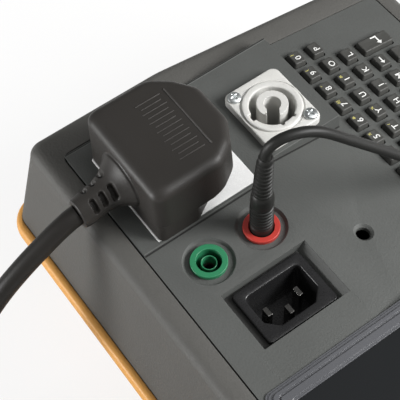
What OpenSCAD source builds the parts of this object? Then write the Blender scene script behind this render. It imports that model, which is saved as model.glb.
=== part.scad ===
// Bench tester for electrical appliances, with its test lead and its probe lead.
// Millimetres. +X is the user's right, +Y is the rear, +Z is up.
// The origin is on the table, under the middle of the case.

/* [Case] */
// Overall width, over the amber rim
case_w = 275; // [262:1:290]
// Overall depth, over the amber rim
case_d = 203; // [196:1:215]
// Height of the flat rear part of the panel above the table
panel_h = 98; // [90:1:110]
// Height of the parting line between the two shells
parting_h = 50; // [44:1:54]
// Wall of both shells
wall = 3; // [2.4:0.1:3.4]
// How far the upper shell leans in at its left and right sides
draft = 7; // [4:0.5:8]
// How far the upper shell leans in at its front and rear
draft_rear = 8.5; // [6:0.5:10]
// How far the base leans in from the rim down to its floor
base_taper = 14; // [8:1:16]
// How far the amber rim stands out from the walls
rim_out = 2.5; // [1.5:0.1:3.5]
// Height of the amber rim
rim_h = 8; // [6.5:0.5:12]
// Radius of the upright corners
corner_r = 11; // [8:0.5:16]
// Radius along the upper edges
edge_r = 5; // [3:0.5:6]
// Slope of the front part of the panel, in degrees
tilt = 8.5; // [6:0.5:10]
// Where the slope starts
fold_y = 26; // [22:1:28]
// Thickness of the rubber feet
foot_h = 3; // [2:0.5:6]

/* [Panel] */
// Width of the panel plate
panel_w = 228; // [222:1:236]
// Depth of the panel plate
panel_d = 157; // [154:1:162]
// Thickness of the panel plate
panel_t = 2.6; // [2:0.1:3.2]
// Gap around the panel plate
groove = 0.5; // [0.3:0.1:1]
// How far the outlet platform stands above the flat panel
platform_up = 0.3; // [0.1:0.1:1.5]
// Depth of the round dishes at the 4 mm sockets
dish_depth = 1.4; // [0.6:0.1:1.8]

/* [Outlets] */
// Centre of the mains outlet, across
outlet_x = 83; // [80:1:84]
// Centre of the mains outlet, front to rear
outlet_y = 48; // [47:1:49]
// Side of the square outlet plate
plate_side = 45.6; // [44:0.2:48]
// Centre of the round locking outlet, across
round_x = 82; // [80:1:88]
// Centre of the round locking outlet, front to rear
round_y = 1.5; // [0:0.5:4]
// Bore of the round outlet
round_bore = 18.3; // [17:0.1:19]
// Core of the round outlet
round_core = 12.6; // [11:0.1:13]
// Centre of the inlet for leads under test, across
inlet_x = 16; // [14:1:18]
// Centre of the inlet for leads under test, front to rear
inlet_y = 46.6; // [45:0.2:48]
// Bore of the 4 mm sockets
jack_bore = 4; // [4:0.05:4.2]
// Outside of the coloured rings on the 4 mm sockets
jack_ring = 14; // [13:0.5:16]

/* [Display] */
// Width of the display frame
frame_w = 99; // [94:1:102]
// Depth of the display frame
frame_d = 69; // [64:1:70]
// Width of each side of the display frame
frame_side = 8; // [6:0.5:9]
// Height of the display frame above the flat panel
frame_h = 1.6; // [1:0.1:3]

/* [Keys] */
// Distance from key to key
key_pitch = 9.9; // [9.7:0.05:10]
// Width of a key
key_w = 6.9; // [6:0.1:7.4]
// Depth of a key
key_d = 6; // [5:0.1:6.4]
// Height of a key above the panel
key_h = 2.4; // [1.8:0.1:3]
// Travel of the keys
key_travel = 1; // [0.6:0.1:1.2]
// Clearance around each key
key_gap = 0.4; // [0.3:0.05:0.5]
// Diameter of the start and stop buttons
round_key = 15; // [12:0.5:18]

/* [Leads] */
// Diameter of the test lead
lead_d = 8; // [7:0.1:8]
// Diameter of the probe lead
probe_lead_d = 4; // [3.4:0.1:4]
// Height of the mains plug
plug_h = 30; // [27:0.5:32]

/* [Hidden] */

$fn = 48;
fit_gap = 0.3; // gap between neighbouring pieces
body_w = case_w - 2 * rim_out; // across the walls of the base
body_d = case_d - 2 * rim_out;
top_w = body_w - 2 * draft; // across the upper edges of the upper shell
top_d = body_d - 2 * draft_rear;
floor_z = foot_h; // underside of the base
tan_tilt = tan(tilt);
front_h = panel_h - (fold_y + top_d / 2 - corner_r) * tan_tilt; // panel's height at the front corners' centres
panel_x1 = panel_w / 2;
panel_y1 = panel_d / 2;
side_lean = atan(draft / (panel_h - edge_r - parting_h)); // lean of the side walls

// Height of the panel's surface at a distance from the front or rear
function top_z(y) = y >= fold_y ? panel_h : panel_h - (fold_y - y) * tan_tilt;

// Distance down the slope from the fold, for a place front to rear
function down(y) = (fold_y - y) / cos(tilt);

// Outlines

// Rectangle with rounded corners
module round_rect(w, d, r) {
  square([w - 2 * r, d], center = true);
  square([w, d - 2 * r], center = true);
  for (x = [-1, 1], y = [-1, 1]) translate([x * (w / 2 - r), y * (d / 2 - r)]) circle(r);
}

module slab(w, d, r, z, h) translate([0, 0, z]) linear_extrude(h) round_rect(w, d, r);

// Block across the case whose top follows the panel, between two depths below it
module panel_layer(x0, x1, y0, y1, over, under) {
  translate([x0, 0, 0]) rotate([90, 0, 90]) linear_extrude(x1 - x0)
    polygon([[y0, top_z(y0) + over], [fold_y, panel_h + over], [y1, panel_h + over],
      [y1, panel_h - under], [fold_y, panel_h - under], [y0, top_z(y0) - under]]);
}

// Puts a piece on the sloping part, at x and a distance down from the fold
module on_slope(x, s) {
  translate([0, fold_y, panel_h]) rotate([tilt, 0, 0]) translate([x, -s, 0]) children();
}

// The two shells

boss_x = body_w / 2 - base_taper - 8;
boss_y = body_d / 2 - base_taper - 8;
boss_r = 5;
screw_r = 1.95;
head_r = 3.6;
head_h = 3;
screw_grip = 8;
boss_split = floor_z + wall + 9; // where the base's bosses meet the upper ones

module at_bosses() for (x = [-1, 1], y = [-1, 1]) translate([x * boss_x, y * boss_y, 0]) children();

module base_shell() color([0.93, 0.62, 0.27]) difference() {
  union() {
    hull($fn = 32) {
      slab(body_w - 2 * base_taper, body_d - 2 * base_taper, 8, floor_z, 0.1, $fn = 32);
      slab(body_w, body_d, corner_r, parting_h - rim_h, rim_h, $fn = 32);
    }
    hull() {
      slab(body_w, body_d, corner_r, parting_h - rim_h, rim_h, $fn = 32);
      slab(case_w - 2, case_d - 2, corner_r + 1.5, parting_h - rim_h + 1, rim_h - 2, $fn = 32);
      slab(case_w, case_d, corner_r + rim_out, parting_h - rim_h + 2.4, rim_h - 5, $fn = 32);
    }
  }
  difference() {
    hull() {
      slab(body_w - 2 * base_taper - 2 * wall, body_d - 2 * base_taper - 2 * wall, 8 - wall, floor_z + wall, 0.1,
        $fn = 32);
      slab(body_w - 2 * wall, body_d - 2 * wall, corner_r - wall, parting_h - rim_h + wall, rim_h, $fn = 32);
    }
    at_bosses() cylinder(r = boss_r + 1, h = boss_split);
  }
  at_bosses() {
    translate([0, 0, -1]) cylinder(r = 2.2, h = parting_h);
    translate([0, 0, -1]) cylinder(r = head_r + 0.4, h = floor_z + head_h + 2.5);
  }
}

supply_y = 30;
supply_z = 73;
supply_w = 52;
supply_h = 27;
supply_deep = 24;

// Puts a piece on the left wall: local Z points out of it, local X up it and local Y to the rear
module on_left_wall() {
  lean_x = body_w / 2 - (supply_z - parting_h) * tan(side_lean);
  translate([-lean_x, supply_y, supply_z]) rotate([0, side_lean - 90, 0]) children();
}

// Rounded corner under the panel's height z, standing at one corner of the upper edge
module edge_corner(x, y, z) translate([x * (top_w / 2 - corner_r), y, z - edge_r])
  rotate_extrude($fn = 28) translate([corner_r - edge_r, 0]) circle(edge_r, $fn = 24);

module top_shell() color([0.38, 0.39, 0.38]) difference() {
  hull() {
    slab(body_w, body_d, corner_r, parting_h, 0.1, $fn = 32);
    for (x = [-1, 1]) {
      edge_corner(x, top_d / 2 - corner_r, panel_h);
      edge_corner(x, fold_y, panel_h);
      translate([x * (top_w / 2 - corner_r), corner_r - top_d / 2, front_h - edge_r]) rotate([tilt, 0, 0])
        rotate_extrude($fn = 28) translate([corner_r - edge_r, 0]) circle(edge_r, $fn = 24);
    }
  }
  difference() {
    hull() {
      slab(body_w - 2 * wall, body_d - 2 * wall, corner_r - wall, parting_h - 1, 0.1, $fn = 32);
      for (x = [-1, 1]) {
        translate([x * (top_w / 2 - wall - 2), top_d / 2 - wall - 2, panel_h - wall - panel_t - 2])
          sphere(2, $fn = 12);
        translate([x * (top_w / 2 - wall - 2), fold_y, panel_h - wall - panel_t - 2]) sphere(2, $fn = 12);
        translate([x * (top_w / 2 - wall - 2), 2 + wall - top_d / 2, top_z(-top_d / 2) - wall - panel_t - 2])
          sphere(2, $fn = 12);
      }
    }
    at_bosses() translate([0, 0, boss_split]) cylinder(r = boss_r, h = panel_h);
  }
  // seat for the panel plate, and the opening under it
  intersection() {
    panel_layer(-case_w, case_w, -case_d, case_d, 20, panel_t);
    slab(panel_w + 2 * groove, panel_d + 2 * groove, 3 + groove, 0, 2 * panel_h);
  }
  slab(panel_w - 8, panel_d - 8, 3, parting_h + 4, 2 * panel_h);
  at_bosses() translate([0, 0, boss_split - 1]) cylinder(r = screw_r + 0.03, h = 20);
  on_left_wall() translate([-supply_h / 2 + 2, -supply_w / 2 + 2, -15]) cube([supply_h - 4, supply_w - 4, 30]);
}

module rubber_feet() color([0.12, 0.12, 0.12])
  for (x = [-1, 1], y = [-1, 1]) translate([x * (boss_x - 16), y * (boss_y - 4), 0]) {
    cylinder(r = 9, h = foot_h - 1);
    translate([0, 0, foot_h - 1]) cylinder(r = 8, h = 1);
  }

module case_screws() color([0.7, 0.7, 0.72]) at_bosses() {
  translate([0, 0, floor_z + 1.5]) difference() {
    cylinder(r = head_r, h = head_h);
    translate([0, 0, -0.1]) cylinder(r = 1.6, h = 1.6, $fn = 6);
  }
  translate([0, 0, floor_z + head_h + 1.5]) cylinder(r = screw_r, h = boss_split - floor_z + screw_grip);
}

// The panel

platform_z = panel_h + platform_up;
platform_left = outlet_x - plate_side / 2 - 1.7;
platform_step = round_x - 17.5;
platform_front = round_y - 20;

module platform_outline() {
  polygon([[platform_left, panel_y1 - 0.2], [platform_left, outlet_y - plate_side / 2 - 3.5],
    [platform_step, outlet_y - plate_side / 2 - 9], [platform_step, platform_front],
    [panel_x1 - 0.3, platform_front], [panel_x1 - 0.3, panel_y1 - 0.2]]);
}

zero_x = 19.8;
zero_y = 6.7;
green_x = 42.9;
green_y = 60.6;
red_x = 43;
red_y = 36.5;
inlet_flange_x = 24;
inlet_flange_y = 31;
inlet_body_x = 20;
inlet_body_y = 28;
inlet_deep = 22;
well_w = inlet_flange_x + 2;
well_front = inlet_y - inlet_flange_y / 2 - 3.7;
well_rear = inlet_y + inlet_flange_y / 2 + 3.5;
well_depth = 4.5;
inlet_drop = 2.5; // how far the inlet's face lies below the panel
rows = 5;
row_keys = [10, 10, 9, 8, 8];
key_x1 = 101.1; // the last key of a row
key_s1 = down(-25.8); // the row of numbers, down the slope
frame_margin = 4.5; // from the display frame to the panel's left edge
frame_x = frame_margin + frame_w / 2 - panel_x1;
frame_y = 42.6;
function_s = down(-2);
function_w = 15;
function_d = 7;
big_s = down(-42);
start_x = -92;
stop_x = -66;

function key_x(c) = key_x1 - (10 - c) * key_pitch;
function row_s(r) = key_s1 + (r - 1) * key_pitch;
function function_x(i) = frame_x + (i - 2.5) * 22;

web_t = 1; // thickness of the keypad's web
web_top = -panel_t - fit_gap;
board_gap = key_travel + 0.5;
keypad_board_z = web_top - web_t - board_gap; // upper face of the keypad's board
keypad_bosses = [[key_x(10), row_s(4)], [0, row_s(1)], [0, row_s(5)], [(start_x + stop_x) / 2, big_s],
  [-100, row_s(5)], [-40, row_s(5)], [-40, big_s]];

// One key's outline; a wide key spans several places
module key_outline(wide, deep, more) {
  round_rect(key_w + (wide - 1) * key_pitch + 2 * more, key_d + (deep - 1) * key_pitch + 2 * more, 0.9);
}

// Where the keys of a row stand, as [column, columns wide]
function keys_of(r) = r < 5 ? [for (c = [1:row_keys[r - 1]]) [c, 1]]
  : [[1.5, 2], [4.5, 4], [7, 1], [8, 1]];

module row_outlines(r, more) for (k = keys_of(r)) translate([key_x(k[0]), -row_s(r)]) key_outline(k[1], 1, more);

module enter_outline(more) translate([key_x(9), -(row_s(4) + row_s(5)) / 2]) key_outline(1, 2, more);

module panel_plate() color([0.39, 0.4, 0.39]) difference() {
  union() {
    intersection() {
      panel_layer(-panel_x1, panel_x1, -panel_y1, panel_y1, 0, panel_t);
      slab(panel_w, panel_d, 3, 0, 2 * panel_h);
    }
    difference() {
      translate([0, 0, panel_h - 20]) linear_extrude(20 + platform_up) platform_outline();
      panel_layer(-panel_x1, panel_x1 + 1, -panel_y1, panel_y1, -panel_t, 60);
    }
    // bottom of the well around the test inlet
    translate([inlet_x - well_w / 2 - 1.5, well_front - 1.5, panel_h - well_depth - 1.5])
      cube([well_w + 3, well_rear - well_front + 3, well_depth - panel_t + 2]);
    // bosses that carry the keypad's board
    for (p = keypad_bosses) on_slope(p[0], p[1]) translate([0, 0, keypad_board_z]) cylinder(r = 1.9, h = -1 - keypad_board_z);
    // bosses under the dishes of the 4 mm sockets
    for (p = [[green_x, green_y], [red_x, red_y]]) translate([p[0], p[1], panel_h - panel_t - 1.2])
      cylinder(r = 11, h = 2);
  }
  // mains outlet
  translate([outlet_x - plate_side / 2 - 0.2, outlet_y - plate_side / 2 - 0.2, platform_z - 1.2])
    cube([plate_side + 0.4, plate_side + 0.4, 5]);
  translate([outlet_x - outlet_body / 2 - 0.5, outlet_y - outlet_body / 2 - 0.5, panel_h - 20])
    cube([outlet_body + 1, outlet_body + 1, 40]);
  // round outlet
  translate([round_x, round_y, panel_h - 20]) {
    cylinder(r = collar_r - 0.1, h = 40);
    for (s = [-1, 1]) translate([s * flange_screw_x, s * flange_screw_y, 0]) cylinder(r = 1.7, h = 40);
  }
  // 4 mm sockets in their dishes
  for (p = [[green_x, green_y], [red_x, red_y]]) translate([p[0], p[1], 0]) {
    translate([0, 0, panel_h - dish_depth]) cylinder(r1 = 9, r2 = 10, h = dish_depth + 0.01, $fn = 64);
    translate([0, 0, panel_h - 20]) cylinder(r = 6.1, h = 40);
  }
  // well and body of the test inlet
  translate([inlet_x - well_w / 2, well_front, panel_h - well_depth]) cube([well_w, well_rear - well_front, 20]);
  translate([inlet_x - inlet_body_x / 2 - 0.1, inlet_y - inlet_body_y / 2 - 0.1, panel_h - 20])
    cube([inlet_body_x + 0.2, inlet_body_y + 0.2, 40]);
  // socket for zeroing the leads
  on_slope(zero_x, down(zero_y)) {
    translate([0, 0, -20]) cylinder(r = 2.8, h = 40);
    translate([0, 0, -1.1]) cylinder(r1 = 2.8, r2 = 4, h = 1.11);
  }
  // display module
  translate([frame_x - frame_w / 2 + frame_side + 2, frame_y - frame_d / 2 + frame_side + 2, panel_h - 30])
    cube([frame_w - 2 * frame_side - 4, frame_d - 2 * frame_side - 4, 60]);
  // openings for the keys
  on_slope(0, 0) translate([0, 0, -20]) linear_extrude(40) {
    for (r = [1:rows]) row_outlines(r, key_gap);
    enter_outline(key_gap);
    for (i = [1:4]) translate([function_x(i), -function_s])
      round_rect(function_w + 2 * key_gap, function_d + 2 * key_gap, 1.4);
    for (x = [start_x, stop_x]) translate([x, -big_s]) circle(r = round_key / 2 + key_gap, $fn = 64);
  }
}

// Mains outlet

slot_line_y = 12;
slot_earth_y = -10.2;
pin_side = 11.1;
pin_w = 6.4;
pin_t = 4;
earth_l = 8;
outlet_body = 40;
outlet_deep = 26;

module outlet_slots(more) {
  for (x = [-1, 1]) translate([x * pin_side - pin_w / 2 - more, slot_line_y - pin_t / 2 - more])
    square([pin_w + 2 * more, pin_t + 2 * more]);
  translate([-pin_t / 2 - more, slot_earth_y - earth_l / 2 - more]) square([pin_t + 2 * more, earth_l + 2 * more]);
}

plate_z = platform_z + 0.4;

module outlet_plate() color([0.95, 0.95, 0.94]) translate([outlet_x, outlet_y, 0]) difference() {
  union() {
    slab(plate_side, plate_side, 0.6, platform_z - 1.2, 1.6);
    slab(outlet_body, outlet_body, 1, panel_h - outlet_deep, outlet_deep + platform_up - 1.2);
  }
  translate([0, 0, panel_h - outlet_deep + 2]) linear_extrude(outlet_deep + 14) outlet_slots(0.3);
}

module outlet_contacts() color([0.75, 0.6, 0.3]) translate([outlet_x, outlet_y, 0])
  translate([0, 0, panel_h - outlet_deep - 6]) linear_extrude(6) outlet_slots(0.8);

// Round locking outlet

flange_z = platform_z;
flange_w = 31;
flange_d = 26;
flange_t = 3.5;
collar_r = 12.1;
collar_up = 0.8;
round_deep = 22;
flange_screw_x = 12;
flange_screw_y = 9.5;

module round_outlet() color([0.86, 0.86, 0.84]) translate([round_x, round_y, flange_z]) difference() {
  union() {
    slab(flange_w, flange_d, 3, 0, flange_t);
    cylinder(r = collar_r, h = flange_t + collar_up, $fn = 96);
    translate([0, 0, -round_deep]) cylinder(r = collar_r - 0.4, h = round_deep, $fn = 96);
  }
  translate([0, 0, -round_deep + 2]) cylinder(r = round_bore / 2, h = 60, $fn = 96);
  // shallow channel round the collar
  difference() {
    translate([0, 0, flange_t - 0.5]) cylinder(r = collar_r + 0.8, h = 3);
    translate([0, 0, flange_t - 1]) cylinder(r = collar_r, h = 4, $fn = 96);
  }
  // keyways
  for (a = [123, 197, 340]) rotate([0, 0, a]) translate([round_bore / 2 - 1, -1.6, -8]) cube([2.2, 3.2, 30]);
  for (s = [-1, 1]) translate([s * flange_screw_x, s * flange_screw_y, -10]) cylinder(r = 1.6, h = 30);
}

module round_outlet_core() color([0.84, 0.84, 0.82]) translate([round_x, round_y, flange_z - round_deep]) {
  translate([0, 0, 2]) cylinder(r = round_core / 2, h = 4, $fn = 72);
  translate([0, 0, 6]) linear_extrude(round_deep + flange_t - 5) difference() {
    circle(r = round_core / 2, $fn = 72);
    circle(r = 3.1);
    rotate(168) translate([0, -1.7]) square([9, 3.4]);
    rotate(60) translate([0, -0.9]) square([4.6, 1.8]);
  }
}

module round_outlet_screws() color([0.75, 0.78, 0.8])
  for (s = [-1, 1]) translate([round_x + s * flange_screw_x, round_y + s * flange_screw_y, flange_z + flange_t])
    difference() {
      union() {
        cylinder(r = 2.8, h = 0.9);
        translate([0, 0, 0.9]) cylinder(r1 = 2.8, r2 = 2, h = 0.7, $fn = 32);
        translate([0, 0, -flange_t - 2.3]) cylinder(r = 1.55, h = flange_t + 2.3);
      }
      for (a = [20, 110]) rotate([0, 0, a]) translate([-1.5, -0.3, 0.7]) cube([3, 0.6, 2]);
    }

// 4 mm safety sockets

jack_deep = 24;

module jack(x, y) translate([x, y, panel_h]) difference() {
  union() {
    translate([0, 0, -dish_depth]) cylinder(r = jack_ring / 2, h = dish_depth + 0.5, $fn = 72);
    translate([0, 0, -jack_deep]) cylinder(r = 5.9, h = jack_deep);
  }
  difference() {
    translate([0, 0, -jack_deep + 2]) cylinder(r = 4.8, h = 40, $fn = 64);
    translate([0, 0, -jack_deep]) cylinder(r = 3.1, h = jack_deep - 1);
  }
  translate([0, 0, -jack_deep + 3]) cylinder(r = 2.6, h = 40);
}

module bond_socket() color([0.25, 0.6, 0.4]) jack(green_x, green_y);

module probe_socket() color([0.8, 0.25, 0.2]) jack(red_x, red_y);

module socket_sleeves() color([0.8, 0.7, 0.4])
  for (p = [[green_x, green_y], [red_x, red_y]]) translate([p[0], p[1], panel_h - jack_deep + 3]) difference() {
    cylinder(r = 2.6, h = jack_deep - 9);
    translate([0, 0, 1]) cylinder(r = jack_bore / 2, h = jack_deep);
  }

module bond_zero_bush() color([0.75, 0.65, 0.35]) on_slope(zero_x, down(zero_y)) difference() {
  union() {
    translate([0, 0, -panel_t - 1.2]) cylinder(r = 5, h = 1.2);
    translate([0, 0, -16]) cylinder(r = 3.6, h = 16 - panel_t);
  }
  translate([0, 0, -15]) cylinder(r = 2.7, h = 20);
}

// Inlet for leads under test

cavity_x = 8.1; // half the cavity's width
cavity_y = 12.1;
cavity_cut = 4.5; // its cut corners
cavity_deep = 20;
blade_w = 4;
blade_t = 2;
blade_side = 7;
blade_l = 15;
earth_x = -5;

function inlet_cavity(more) = [[cavity_x + more, -cavity_y - more], [cavity_x + more, cavity_y + more],
  [cavity_cut - cavity_x, cavity_y + more], [-cavity_x - more, cavity_y - cavity_cut],
  [-cavity_x - more, cavity_cut - cavity_y], [cavity_cut - cavity_x, -cavity_y - more]];

inlet_face = panel_h - inlet_drop;

// Body of a three-pin inlet with its face at z = 0
module inlet_shell(flange_x, flange_y) difference() {
  union() {
    slab(flange_x, flange_y, 1, -well_depth + inlet_drop, well_depth - inlet_drop);
    slab(inlet_body_x, inlet_body_y, 1, -inlet_deep, inlet_deep);
  }
  translate([0, 0, -cavity_deep]) linear_extrude(cavity_deep + 10) polygon(inlet_cavity(0));
  translate([0, 0, -0.8]) linear_extrude(2) polygon(inlet_cavity(0.5));
}

module inlet_blades() {
  for (y = [-blade_side, blade_side]) translate([earth_x + blade_w, y - blade_t / 2, -cavity_deep])
    cube([blade_w, blade_t, blade_l]);
  translate([earth_x, -blade_t / 2, -cavity_deep]) cube([blade_w, blade_t, blade_l + 0.5]);
}

module test_inlet() color([0.15, 0.15, 0.16]) translate([inlet_x, inlet_y, inlet_face]) inlet_shell(inlet_flange_x, inlet_flange_y);

module test_inlet_pins() color([0.8, 0.8, 0.8]) translate([inlet_x, inlet_y, inlet_face]) inlet_blades();

// Display

module frame_ring(outer, inner, z0, z1) difference() {
  slab(frame_w - 2 * outer, frame_d - 2 * outer, 2.5, z0, z1 - z0);
  slab(frame_w - 2 * inner, frame_d - 2 * inner, 1.2, z0 - 1, z1 - z0 + 2);
}

module display_frame() color([0.42, 0.42, 0.44]) translate([frame_x, frame_y, 0]) difference() {
  union() {
    frame_ring(0, frame_side, panel_h - 12, panel_h + frame_h * 0.35);
    frame_ring(0.8, frame_side, panel_h, panel_h + frame_h * 0.6);
    frame_ring(2, frame_side - 1, panel_h, panel_h + frame_h);
    frame_ring(4, frame_side - 1, panel_h, panel_h + frame_h * 0.8);
  }
  frame_ring(3.4, 4.2, panel_h + frame_h * 0.6, panel_h + frame_h * 2);
  translate([-frame_x, -frame_y, 0]) panel_layer(-panel_x1, panel_x1, -panel_y1, panel_y1, 0, 60);
}

window_t = 1.6;
module_t = 8;

module display_window() color([0.1, 0.11, 0.11, 0.9]) translate([frame_x, frame_y, 0])
  slab(frame_w - 2 * frame_side - 0.2, frame_d - 2 * frame_side - 0.2, 1, panel_h, window_t - 1.2);

module display_module() color([0.25, 0.28, 0.27]) translate([frame_x, frame_y, 0])
  slab(frame_w - 2 * frame_side - 5, frame_d - 2 * frame_side - 5, 1, panel_h - module_t, module_t - 0.05);

// Keys

module key_row(r) color([0.3, 0.3, 0.28]) on_slope(0, 0) {
  translate([0, 0, web_top]) linear_extrude(key_h - web_top) row_outlines(r, 0);
  x0 = key_x(1) - key_w / 2 - 1;
  x1 = key_x(row_keys[r - 1]) + key_w / 2 + 1;
  translate([x0, -row_s(r) - key_pitch / 2 + 0.2, web_top - web_t]) cube([x1 - x0, key_pitch - 0.4, web_t]);
}

module key_row_1() key_row(1);
module key_row_2() key_row(2);
module key_row_3() key_row(3);
module key_row_4() key_row(4);
module key_row_5() key_row(5);

module enter_key() color([0.3, 0.3, 0.28]) on_slope(0, 0) {
  translate([0, 0, web_top]) linear_extrude(key_h - web_top) enter_outline(0);
  s0 = row_s(4) - key_pitch / 2 + 0.2;
  s1 = row_s(5) + key_pitch / 2 - 0.2;
  translate([key_x(9) - key_pitch / 2 + 0.6, -s1, web_top - web_t]) cube([key_pitch - 1.2, s1 - s0, web_t]);
}

module function_key(i) color([0.55, 0.56, 0.55]) on_slope(function_x(i), function_s) {
  translate([0, 0, web_top]) linear_extrude(key_h - web_top) round_rect(function_w, function_d, 1);
  translate([0, 0, web_top - web_t]) linear_extrude(web_t) round_rect(function_w + 3, function_d + 3, 1);
}

module function_key_1() function_key(1);
module function_key_2() function_key(2);
module function_key_3() function_key(3);
module function_key_4() function_key(4);

module big_button(x) on_slope(x, big_s) {
  translate([0, 0, web_top]) cylinder(r = round_key / 2, h = key_h - web_top, $fn = 64);
  translate([0, 0, web_top - web_t]) cylinder(r = round_key / 2 + 2, h = web_t, $fn = 64);
}

module start_button() color([0.2, 0.6, 0.3]) big_button(start_x);

module stop_button() color([0.75, 0.2, 0.15]) big_button(stop_x);

// Inside

board_t = 1.6;

module keypad_board() color([0.1, 0.35, 0.2]) on_slope(0, 0) {
  z0 = keypad_board_z - board_t;
  s0 = function_s - 8;
  s1 = down(-panel_y1) - 7;
  translate([6, -s1, z0]) cube([panel_x1 - 13, s1 - row_s(1) + 7, board_t]);
  translate([7 - panel_x1, -s1, z0]) cube([panel_x1, s1 - s0, board_t]);
}

pillar_x = 78;
pillar_y = 52;
pillar_h = 10;
board_z = floor_z + wall + pillar_h;

module at_pillars() for (x = [-1, 1], y = [-1, 1]) translate([x * pillar_x, y * pillar_y, 0]) children();

module board_pillars() color([0.8, 0.7, 0.4]) at_pillars() translate([0, 0, floor_z + wall]) {
  cylinder(r = 4, h = pillar_h);
  cylinder(r = 1.5, h = pillar_h + board_t + 1.5);
}

module main_board() color([0.1, 0.35, 0.2]) difference() {
  slab(2 * pillar_x + 14, 2 * pillar_y + 14, 2, board_z, board_t);
  at_pillars() cylinder(r = 1.6, h = 2 * panel_h);
}

transformer_x = -35;
transformer_y = 12;
core_w = 60;
core_d = 48;
core_leg = 12;
yoke_h = 10;
leg_h = 22;

module transformer() color([0.35, 0.3, 0.28]) translate([transformer_x, transformer_y, board_z + board_t]) {
  for (z = [0, yoke_h + leg_h]) translate([-core_w / 2, -core_d / 2, z]) cube([core_w, core_d, z > 0 ? yoke_h - 1 : yoke_h]);
  for (x = [-core_w / 2, core_w / 2 - core_leg]) translate([x, -core_d / 2, yoke_h]) cube([core_leg, core_d, leg_h]);
  translate([4 - core_leg, -core_d / 2, yoke_h]) cube([core_leg + 4, core_d, leg_h]);
}

// Mains inlet and switch on the left wall

rocker_y = 14.5;
socket_off = -9;
rocker_w = 12.6;
rocker_l = 19;
rocker_tilt = 9;
pivot_r = 1.5;
pivot_z = -2;

module supply_inlet() color([0.12, 0.12, 0.13]) on_left_wall() difference() {
  union() {
    slab(supply_h, supply_w, 2, 0, 2.4);
    translate([0, 0, -supply_deep]) linear_extrude(supply_deep) square([supply_h - 4.6, supply_w - 4.6], center = true);
  }
  translate([-0.5, socket_off, -18]) linear_extrude(30) polygon(inlet_cavity(0));
  translate([-rocker_l / 2 - 0.5, rocker_y - rocker_w / 2 - 0.3, -10])
    cube([rocker_l + 1, rocker_w + 0.6, 30]);
  translate([0, rocker_y, pivot_z]) rotate([90, 0, 0])
    cylinder(r = pivot_r + 0.05, h = rocker_w + 4, center = true);
}

module supply_pins() color([0.8, 0.8, 0.8]) on_left_wall() translate([-0.5, socket_off, 2]) inlet_blades();

module power_switch() color([0.2, 0.2, 0.2]) on_left_wall() translate([0, rocker_y, pivot_z])
  rotate([0, rocker_tilt, 0]) {
    rotate([90, 0, 0]) linear_extrude(rocker_w, center = true)
      polygon([[-rocker_l / 2 + 0.4, 5.4], [0, 4.2], [rocker_l / 2 - 0.4, 5.4],
        [rocker_l / 2 - 1.4, 1.5], [2.5, -4], [-2.5, -4], [1.4 - rocker_l / 2, 1.5]]);
    rotate([90, 0, 0]) cylinder(r = pivot_r, h = rocker_w + 3, center = true);
  }

// Mains plug and its lead

plug_z = plate_z + fit_gap;
plug_x = outlet_x;
relief_z = platform_z + 9;
plug_rear = outlet_y + 22.7;
relief_end = plug_rear + 19.8;

// Outline of the plug, seen from above, drawn in by m all round and standing further back at the front
function plug_outline(m, back) = [[m - 24, 18.7 - m], [m - 20, 22.7 - m], [20 - m, 22.7 - m], [24 - m, 18.7 - m],
  [24 - m, back - 7], [18.5 - m, back - 14.5 + m / 2], [9, back - 19.8 + m], [-9, back - 19.8 + m],
  [m - 18.5, back - 14.5 + m / 2], [m - 24, back - 7]];

module plug_body() color([0.2, 0.19, 0.18]) difference() {
  translate([plug_x, outlet_y, plug_z]) {
    linear_extrude(plug_h * 0.5) polygon(plug_outline(0.8, 8.5));
    hull() {
      translate([0, 0, plug_h * 0.34]) linear_extrude(1) polygon(plug_outline(2, 1.5));
      translate([0, 0, plug_h * 0.42]) linear_extrude(plug_h * 0.4) polygon(plug_outline(0.4, 0));
      translate([0, 0, plug_h * 0.5]) linear_extrude(plug_h * 0.42) polygon(plug_outline(2, 0));
      translate([0, 0, plug_h * 0.5]) linear_extrude(plug_h * 0.47) polygon(plug_outline(3.4, 0));
      translate([0, 0, plug_h * 0.5]) linear_extrude(plug_h * 0.5) polygon(plug_outline(5.4, 0));
    }
  }
  translate([plug_x - 15, outlet_y - 6.8, plug_z + plug_h - 0.5]) cube([29.5, 13, 2]);
}

module plug_pins() color([0.85, 0.75, 0.45]) translate([plug_x, outlet_y, plug_z]) {
  for (x = [-1, 1]) translate([x * pin_side - 3.18, slot_line_y - 2, -17.7]) cube([6.36, 4, 17.7]);
  translate([-2, slot_earth_y - 4, -22.7]) cube([4, 8, 22.7]);
}

module plug_relief() color([0.2, 0.19, 0.18]) difference() {
  translate([plug_x, plug_rear, relief_z]) rotate([-90, 0, 0]) {
    cylinder(r1 = 11.5, r2 = 7.8, h = 6, $fn = 40);
    translate([0, 0, 6]) cylinder(r1 = 7.8, r2 = 6.4, h = relief_end - plug_rear - 6, $fn = 40);
  }
  translate([plug_x - 20, plug_rear - 1, platform_z - 20]) cube([40, 40, 20 + 0.8]);
  for (i = [0:2]) translate([plug_x, plug_rear + 7.6 + i * 3.8, relief_z]) {
    for (s = [-1, 1]) {
      translate([s * 6.9 - 1.4, 0, -3.4]) cube([2.8, 1.9, 6.8]);
      translate([-3.4, 0, s * 6.9 - 1.4]) cube([6.8, 1.9, 2.8]);
    }
  }
}

// A cord: rings of points round its route, joined into one closed skin
function unit(v) = v / norm(v);
function ahead(p, i) = unit(p[min(i + 1, len(p) - 1)] - p[max(i - 1, 0)]);
function ring_of(c, d, r, n) = let (a = unit(cross(d, abs(d[2]) > 0.9 ? [0, 1, 0] : [0, 0, 1])), b = cross(d, a))
  [for (k = [0:n - 1]) c + r * (cos(360 * k / n) * a + sin(360 * k / n) * b)];

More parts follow.
